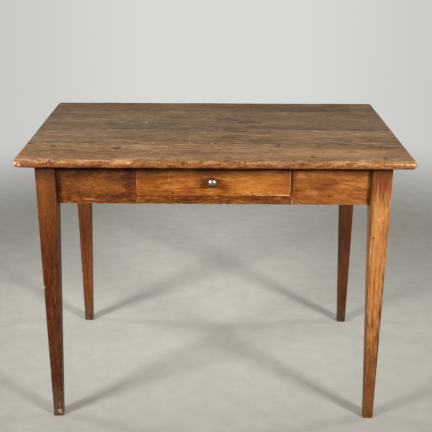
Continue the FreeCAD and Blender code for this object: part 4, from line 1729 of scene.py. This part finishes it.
@dataclass
class Drawer:
    """The drawer: its show front and the softwood box behind.

    Attributes:
        arris: Rounding of the show front's arrises.
        box_arris: Rounding of the box's arrises.
        overhang_dirt_and_shadow_reach: How far down the painted shadow of the top's overhang, with its dirt,
            reaches on the right half of the front.
        left_overhang_dirt_and_shadow_reach: The same for the left half, where the painted shadow reaches
            further.
        front_seed: Seed of the front.
        seeds: Seed of the box's first board, and the step to the next.
        chip_length: Half length of a chip along the front's lower edge.
        chip_depth: Depth of such a chip.
    """

    arris: float = 0.7
    box_arris: float = 1.0
    overhang_dirt_and_shadow_reach: float = 19.0
    left_overhang_dirt_and_shadow_reach: float = 23.0
    front_seed: float = 160.0
    seeds: tuple[float, float] = (170.0, 3.0)
    chip_length: float = 16.0
    chip_depth: float = 0.4

    def build(self) -> None:
        """Loft, cut, dress and place the boards of the drawer, and dress its nails."""
        self.build_front()
        boards = {
            "drawer_side_left": (Grain.DEPTH, (-120.0, 0.0, 640.0)),
            "drawer_side_right": (Grain.DEPTH, (130.0, 0.0, 720.0)),
            "drawer_back": (Grain.LENGTH, (0.0, 260.0, 690.0)),
            "drawer_bottom": (Grain.LENGTH, (0.0, -60.0, 560.0)),
        }
        first_seed, seed_step = self.seeds
        for index, (node, (grain, pith)) in enumerate(boards.items()):
            low, high = corners(node)
            wood = replace(SOFTWOOD, name=f"softwood_{node}", grain=grain, pith=pith)
            bar = WornBar(low, high, grain, seed=first_seed + seed_step * index, arris=(self.box_arris,) * 4,
                          step=12.0, rubbed=(0.2, 0.2, 0.5, 0.5))
            mesh = cut_to_solid(bar.mesh(f"{node}_wood"), node)
            place_piece(f"{node}_wood", mesh, wood.material(), Body.DRAWER, Slot.DRAWER, node)
        for node in ("drawer_side_nails", "drawer_bottom_nails"):
            dress_solid(node, DARK_IRON.material())

    def build_front(self) -> None:
        """Loft, cut, dress and place the show front."""
        low, high = corners("drawer_front")
        # Place of each chip and how fresh its wood is; the pale chips along the right half of the lower edge
        # also paint its highlight
        chips = ((58, 0.3), (84, 0.45), (112, 0.65), (140, 0.5), (168, 0.8), (188, 0.6))
        nicks = tuple(Nick(LongArris.LOWER_FRONT, place, self.chip_length, self.chip_depth, fresh)
                      for place, fresh in chips)
        bar = WornBar(low, high, Grain.LENGTH, seed=self.front_seed, arris=(self.arris,) * 4,
                      end_round=(self.arris,) * 4, rubbed=(0.6, 0.2, 0.2, 0.3), step=7.0,
                      side_steps=(8.0,) * 4, worn_in=0.2, nicks=nicks, grime=partial(self.grime, low, high))
        mesh = cut_to_solid(bar.mesh("drawer_front_board"), "drawer_front")
        place_piece("drawer_front_board", mesh, self.front_finish().material(), Body.DRAWER, Slot.FRAME,
                    "drawer_front")

    def front_finish(self) -> Wood:
        """Finish of the show front.

        Returns:
            The finish.
        """
        dark, brown = "#4A210A", "#5A2A0E"
        return replace(
            FRUITWOOD, name="fruitwood_drawer_front", tones=("#6C350D", "#9E581E", "#C2803C"),
            pith=(40.0, -180.0, 640.0), lean=(1.2, 0.8), ring=8.0, cloud=Streaks(110.0, 36.0, 0.54), marks=(
                on_front(106.6, 679.6, 110, 34, "#BC7430", 0.5, 0.9),
                # Dark patch round the knob, a little to its left: dirt from hands and a painted shadow of the
                # knob
                on_front(-12, 685, 42, 22, dark, 0.65, 0.9),
                on_front(-160, 694.6, 55, 50, "#83440F", 0.5, 0.9),
                on_front(-195.5, 688, 1.6, 40, "#BC8C58", 0.35, 0.7),
                on_front(-104.6, 656.7, 3.8, 3.2, "#120703", 0.95, 0.5),
                on_front(93, 658, 2.4, 2.2, dark, 0.85, 0.5),
                on_front(162, 656.6, 2.4, 2.2, brown, 0.85, 0.5),
                on_front(23, 666, 2.2, 2, brown, 0.7, 0.5),
                # Pale line down the right edge: wear and a painted highlight
                on_front(189.3, 689.6, 1.8, 44, "#CC9A62", 0.7, 0.7),
                on_front(-115.8, 702.6, 1.4, 6, "#C9A074", 0.5),
                on_front(-113.9, 691.6, 2.4, 4, "#D8B48A", 0.65, 0.7)))

    def grime(self, low: Vector, high: Vector, place: Vector) -> float:
        """Dirt and painted shadow of the top at a place on the show front.

        Args:
            low: Lowest corner of the front.
            high: Highest corner of the front.
            place: The place.

        Returns:
            The dirt and painted shadow, from 0 to 1.
        """
        right = place.x > (low.x + high.x) / 2
        return under_top_dirt_and_shadow(high.z - place.z, self.overhang_dirt_and_shadow_reach if right else self.left_overhang_dirt_and_shadow_reach)


@dataclass
class Knob:
    """The turned knob and its bolt, washer and nut.

    Attributes:
        turns: Points round the knob.
        steps: Points along each curve of its outline.
        foot_share: Radius of the foot, as a share of the knob's.
        foot_rim: Height of the foot.
        foot_edges: Bevels of the foot beside the drawer and away from it.
        neck_share: Radius of the neck, as a share of the knob's.
        neck_start: Where the neck is thinnest, measured from the drawer.
        head_start: Where the head starts to swell.
        widest: Where the head is widest.
        darkening_share: Share of the lower half over which the knob turns darker brown.
    """

    turns: int = 72
    steps: int = 18
    foot_share: float = 0.71
    foot_rim: float = 1.5
    foot_edges: tuple[float, float] = (0.3, 0.4)
    neck_share: float = 0.42
    neck_start: float = 3.0
    head_start: float = 6.5
    widest: float = 15.0
    darkening_share: float = 0.5

    def profile(self, radius: float, reach: float) -> list[tuple[float, float]]:
        """Outline of the knob as radius and distance from the drawer.

        Args:
            radius: Greatest radius.
            reach: How far the knob stands out.

        Returns:
            The points from the foot to the crown.
        """
        foot, neck = radius * self.foot_share, radius * self.neck_share
        near, far = self.foot_edges
        rim, shoulder = self.foot_rim, foot - far
        points = [(foot - near, 0.0), (foot, near), (foot, rim - far), (shoulder, rim)]
        turns = [math.pi / 2 * step / self.steps for step in range(1, self.steps + 1)]
        points += [(shoulder - (shoulder - neck) * math.sin(turn),
                    rim + (self.neck_start - rim) * (1 - math.cos(turn))) for turn in turns]
        points += [(neck + (radius - neck) * math.sin(turn),
                    self.widest - (self.widest - self.head_start) * math.cos(turn)) for turn in turns]
        points += [(radius * math.cos(turn),
                    self.widest + (reach - self.widest) * math.sin(turn)) for turn in turns]
        return points

    def build(self) -> None:
        """Turn, dress and place the knob, and dress what holds it."""
        low, high = corners("drawer_knob")
        centre = (low + high) / 2
        outline = self.profile((high.x - low.x) / 2, high.y - low.y)[:-1]
        angles = [2 * math.pi * step / self.turns for step in range(self.turns)]
        places = [Vector((centre.x + radius * math.cos(angle), high.y - out,
                          centre.z + radius * math.sin(angle)))
                  for radius, out in outline for angle in angles]
        crown = len(places)
        places.append(Vector((centre.x, low.y, centre.z)))
        pairs = [(step, (step + 1) % self.turns) for step in range(self.turns)]
        faces = [list(range(self.turns))]
        for start in range(0, crown - self.turns, self.turns):
            above = start + self.turns
            faces += [[start + step, start + after, above + after, above + step] for step, after in pairs]
        rim = crown - self.turns
        faces += [[rim + step, rim + after, crown] for step, after in pairs]
        # Darker brown towards the bottom of the knob
        dirt = [eased((centre.z - place.z) / (self.darkening_share * (high.z - centre.z))) for place in places]
        mesh = write_mesh("turned_knob", places, faces, {Layer.GRIME: dirt})
        place_piece("turned_knob", mesh, WHITE_METAL.material(), Body.DRAWER, Slot.KNOB, "drawer_knob")
        for node in ("knob_bolt", "knob_washer", "knob_nut"):
            dress_solid(node, DARK_IRON.material())


@dataclass(frozen=True)
class Softbox:
    """A square studio light.

    Attributes:
        name: Name of the light.
        place: Where it hangs.
        aim: Where it points.
        size: Width of its face.
        power: Power in watts.
        spread: Angle of its beam in degrees.
        mirrored: True if it shows in shiny surfaces.
    """

    name: str
    place: Place
    aim: Place
    size: float
    power: float
    spread: float
    mirrored: bool = True


@dataclass
class Studio:
    """Floor, lights, backdrop and camera, placed in millimetres and turned in degrees.

    Attributes:
        floor_reach: Radius of the floor.
        floor_rim: Corners of its rim.
        floor_middle: Middle of the part that shows.
        floor_fade: Distances from there at which it starts to fade and is gone.
        floor_colour: Colour of the paint.
        floor_shade: Brightness of its darker clouds.
        floor_cloud: Size of the clouds.
        floor_detail: How many finer clouds ride on them.
        floor_grain: How strong those are.
        floor_levels: Levels of the clouds that are darkest and palest.
        floor_roughness: Roughness of the paint.
        backdrop: Colour of the backdrop.
        room_sides: How far to the back a direction points where the room starts to light up and is brightest.
        room_light: Strength of the light from the front and from the back.
        backdrop_sides: How far aside a direction points where the backdrop starts to dim and is dimmest.
        backdrop_light: Strength of the backdrop in the middle and aside.
        softboxes: The lights.
        eye: Place of the camera.
        pitch: How far it looks down.
        yaw: How far it looks to the right.
        roll: How far it leans to the left.
        lens: Focal length.
        sensor: Width of the picture in the camera.
    """

    floor_reach: float = 3600.0
    floor_rim: int = 96
    floor_middle: Place = (0.0, 400.0, 0.0)
    floor_fade: tuple[float, float] = (1080.0, 2400.0)
    floor_colour: str = "#B8B5AB"
    floor_shade: float = 0.86
    floor_cloud: float = 60.0
    floor_detail: float = 8.0
    floor_grain: float = 0.65
    floor_levels: tuple[float, float] = (0.3, 0.7)
    floor_roughness: float = 0.85
    backdrop: str = "#D8D8D5"
    room_sides: tuple[float, float] = (-0.3, 0.9)
    room_light: tuple[float, float] = (0.08, 0.55)
    backdrop_sides: tuple[float, float] = (0.06, 0.3)
    backdrop_light: tuple[float, float] = (1.0, 0.84)
    softboxes: tuple[Softbox, ...] = (
        Softbox("left_softbox", (-2313.0, -1813.0, 2000.0), (-200.0, 300.0, 350.0), 800.0, 8.6, 46.0),
        Softbox("right_softbox", (2900.0, -2800.0, 2300.0), (100.0, 450.0, 350.0), 800.0, 12.8, 46.0),
        Softbox("front_fill", (0.0, -3300.0, 2400.0), (0.0, 100.0, 600.0), 2400.0, 5.5, 80.0, False),
        Softbox("left_floor_light", (-1500.0, 1700.0, 2400.0), (-1050.0, 1450.0, 0.0), 500.0, 0.35, 45.0,
                False),
        Softbox("left_strip", (-2600.0, 500.0, 1900.0), (0.0, 150.0, 500.0), 300.0, 6.0, 105.0),
        Softbox("right_strip", (2600.0, 500.0, 1900.0), (0.0, 150.0, 500.0), 300.0, 6.0, 105.0))
    eye: Place = (17.67, -2217.79, 1346.36)
    pitch: float = 21.17
    yaw: float = -0.42
    roll: float = 0.19
    lens: float = 68.33
    sensor: float = 36.0

    def build(self) -> None:
        """Make the floor, the lights, the backdrop and the camera."""
        self.build_floor()
        for softbox in self.softboxes:
            self.build_light(softbox)
        self.build_world()
        self.build_camera()
        bpy.context.scene.view_settings.view_transform = "Standard"

    def floor_finish(self) -> bpy.types.Material:
        """Painted concrete, floated smooth: pale, matt and faintly clouded, fading into the backdrop.

        Returns:
            The material.
        """
        made = bpy.data.materials.new("concrete_floated_painted")
        made.use_nodes = True
        tree = made.node_tree
        tree.nodes.clear()
        place = add_node(tree, "TexCoord", out="Object")
        cloud = add_node(tree, "TexNoise", {
            "Vector": place, "Scale": per_size(self.floor_cloud)[0], "Detail": self.floor_detail,
            "Roughness": self.floor_grain}, "Fac")
        red, green, blue, alpha = linear(self.floor_colour)
        dark = (*(self.floor_shade * part for part in (red, green, blue)), alpha)
        colour = add_node(tree, "ValToRGB", {"Fac": cloud}, stops=tuple(
            zip(self.floor_levels, (dark, (red, green, blue, alpha)))))
        surface = add_node(tree, "BsdfPrincipled", {"Base Color": colour, "Roughness": self.floor_roughness})
        offset = add_node(tree, "VectorMath", {0: place, 1: Vector(self.floor_middle) * MM},
                          operation="SUBTRACT")
        reach = add_node(tree, "VectorMath", {0: offset}, "Value", operation="LENGTH")
        fade = add_node(tree, "MapRange", {
            "Value": reach, "From Min": self.floor_fade[0] * MM, "From Max": self.floor_fade[1] * MM},
            interpolation_type="SMOOTHSTEP")
        clear = add_node(tree, "BsdfTransparent")
        mixed = add_node(tree, "MixShader", {0: fade, 1: surface, 2: clear})
        add_node(tree, "OutputMaterial", {"Surface": mixed})
        return made

    def build_floor(self) -> None:
        """Make a round pale floor."""
        angles = [2 * math.pi * step / self.floor_rim for step in range(self.floor_rim)]
        places = [Vector((self.floor_reach * math.cos(angle), self.floor_reach * math.sin(angle), 0.0))
                  for angle in angles]
        mesh = write_mesh("floor", places, [list(range(self.floor_rim))], {})
        mesh.materials.append(self.floor_finish())
        floor = bpy.data.objects.new("floor", mesh)
        bpy.context.scene.collection.objects.link(floor)

    def build_light(self, softbox: Softbox) -> None:
        """Add one softbox that looks at the table.

        Args:
            softbox: The softbox.
        """
        lamp = bpy.data.lights.new(softbox.name, "AREA")
        lamp.shape = "SQUARE"
        lamp.size = softbox.size * MM
        lamp.energy = softbox.power
        lamp.spread = math.radians(softbox.spread)
        held = bpy.data.objects.new(softbox.name, lamp)
        place = Vector(softbox.place)
        held.location = place * MM
        held.rotation_mode = "QUATERNION"
        held.rotation_quaternion = (Vector(softbox.aim) - place).to_track_quat("-Z", "Y")
        held.visible_camera = False
        held.visible_glossy = softbox.mirrored
        bpy.context.scene.collection.objects.link(held)

    def build_world(self) -> None:
        """Make a plain backdrop, with soft light from behind the table and little from the room in front."""
        world = bpy.data.worlds.new("studio")
        world.use_nodes = True
        tree = world.node_tree
        tree.nodes.clear()
        direction = add_node(tree, "TexCoord", out="Generated")
        to_back = add_node(tree, "SeparateXYZ", {0: direction}, "Y")
        to_right = add_node(tree, "SeparateXYZ", {0: direction}, "X")
        aside = add_node(tree, "Math", {0: to_right}, operation="ABSOLUTE")
        level, shown = (add_node(tree, "MapRange", {
            "Value": value, "From Min": sides[0], "From Max": sides[1], "To Min": light[0],
            "To Max": light[1]}, interpolation_type="SMOOTHSTEP")
            for value, sides, light in ((to_back, self.room_sides, self.room_light),
                                        (aside, self.backdrop_sides, self.backdrop_light)))
        seen = add_node(tree, "LightPath", out="Is Camera Ray")
        strength = add_node(tree, "Mix", {"Factor": seen, FIRST: level, SECOND: shown})
        light = add_node(tree, "Background", {"Color": linear(self.backdrop), "Strength": strength})
        add_node(tree, "OutputWorld", {"Surface": light})
        bpy.context.scene.world = world

    def build_camera(self) -> None:
        """Place the camera as the picture was taken."""
        data = bpy.data.cameras.new("camera")
        data.lens = self.lens
        data.sensor_width = self.sensor
        camera = bpy.data.objects.new("camera", data)
        turn = (Matrix.Rotation(math.radians(-self.yaw), 4, "Z")
                @ Matrix.Rotation(math.radians(90.0 - self.pitch), 4, "X")
                @ Matrix.Rotation(math.radians(self.roll), 4, "Z"))
        camera.matrix_world = Matrix.Translation(Vector(self.eye) * MM) @ turn
        bpy.context.scene.collection.objects.link(camera)
        bpy.context.scene.camera = camera


def main() -> None:
    """Build the table and the studio round it."""
    logging.basicConfig(level=logging.INFO, format="%(message)s")
    for assembly in (PlankTop(), LegSet(), ApronSet(), DrawerGuides(), Drawer(), Knob(), Studio()):
        log.info("building %s", type(assembly).__name__)
        assembly.build()


if __name__ == "__main__":
    main()
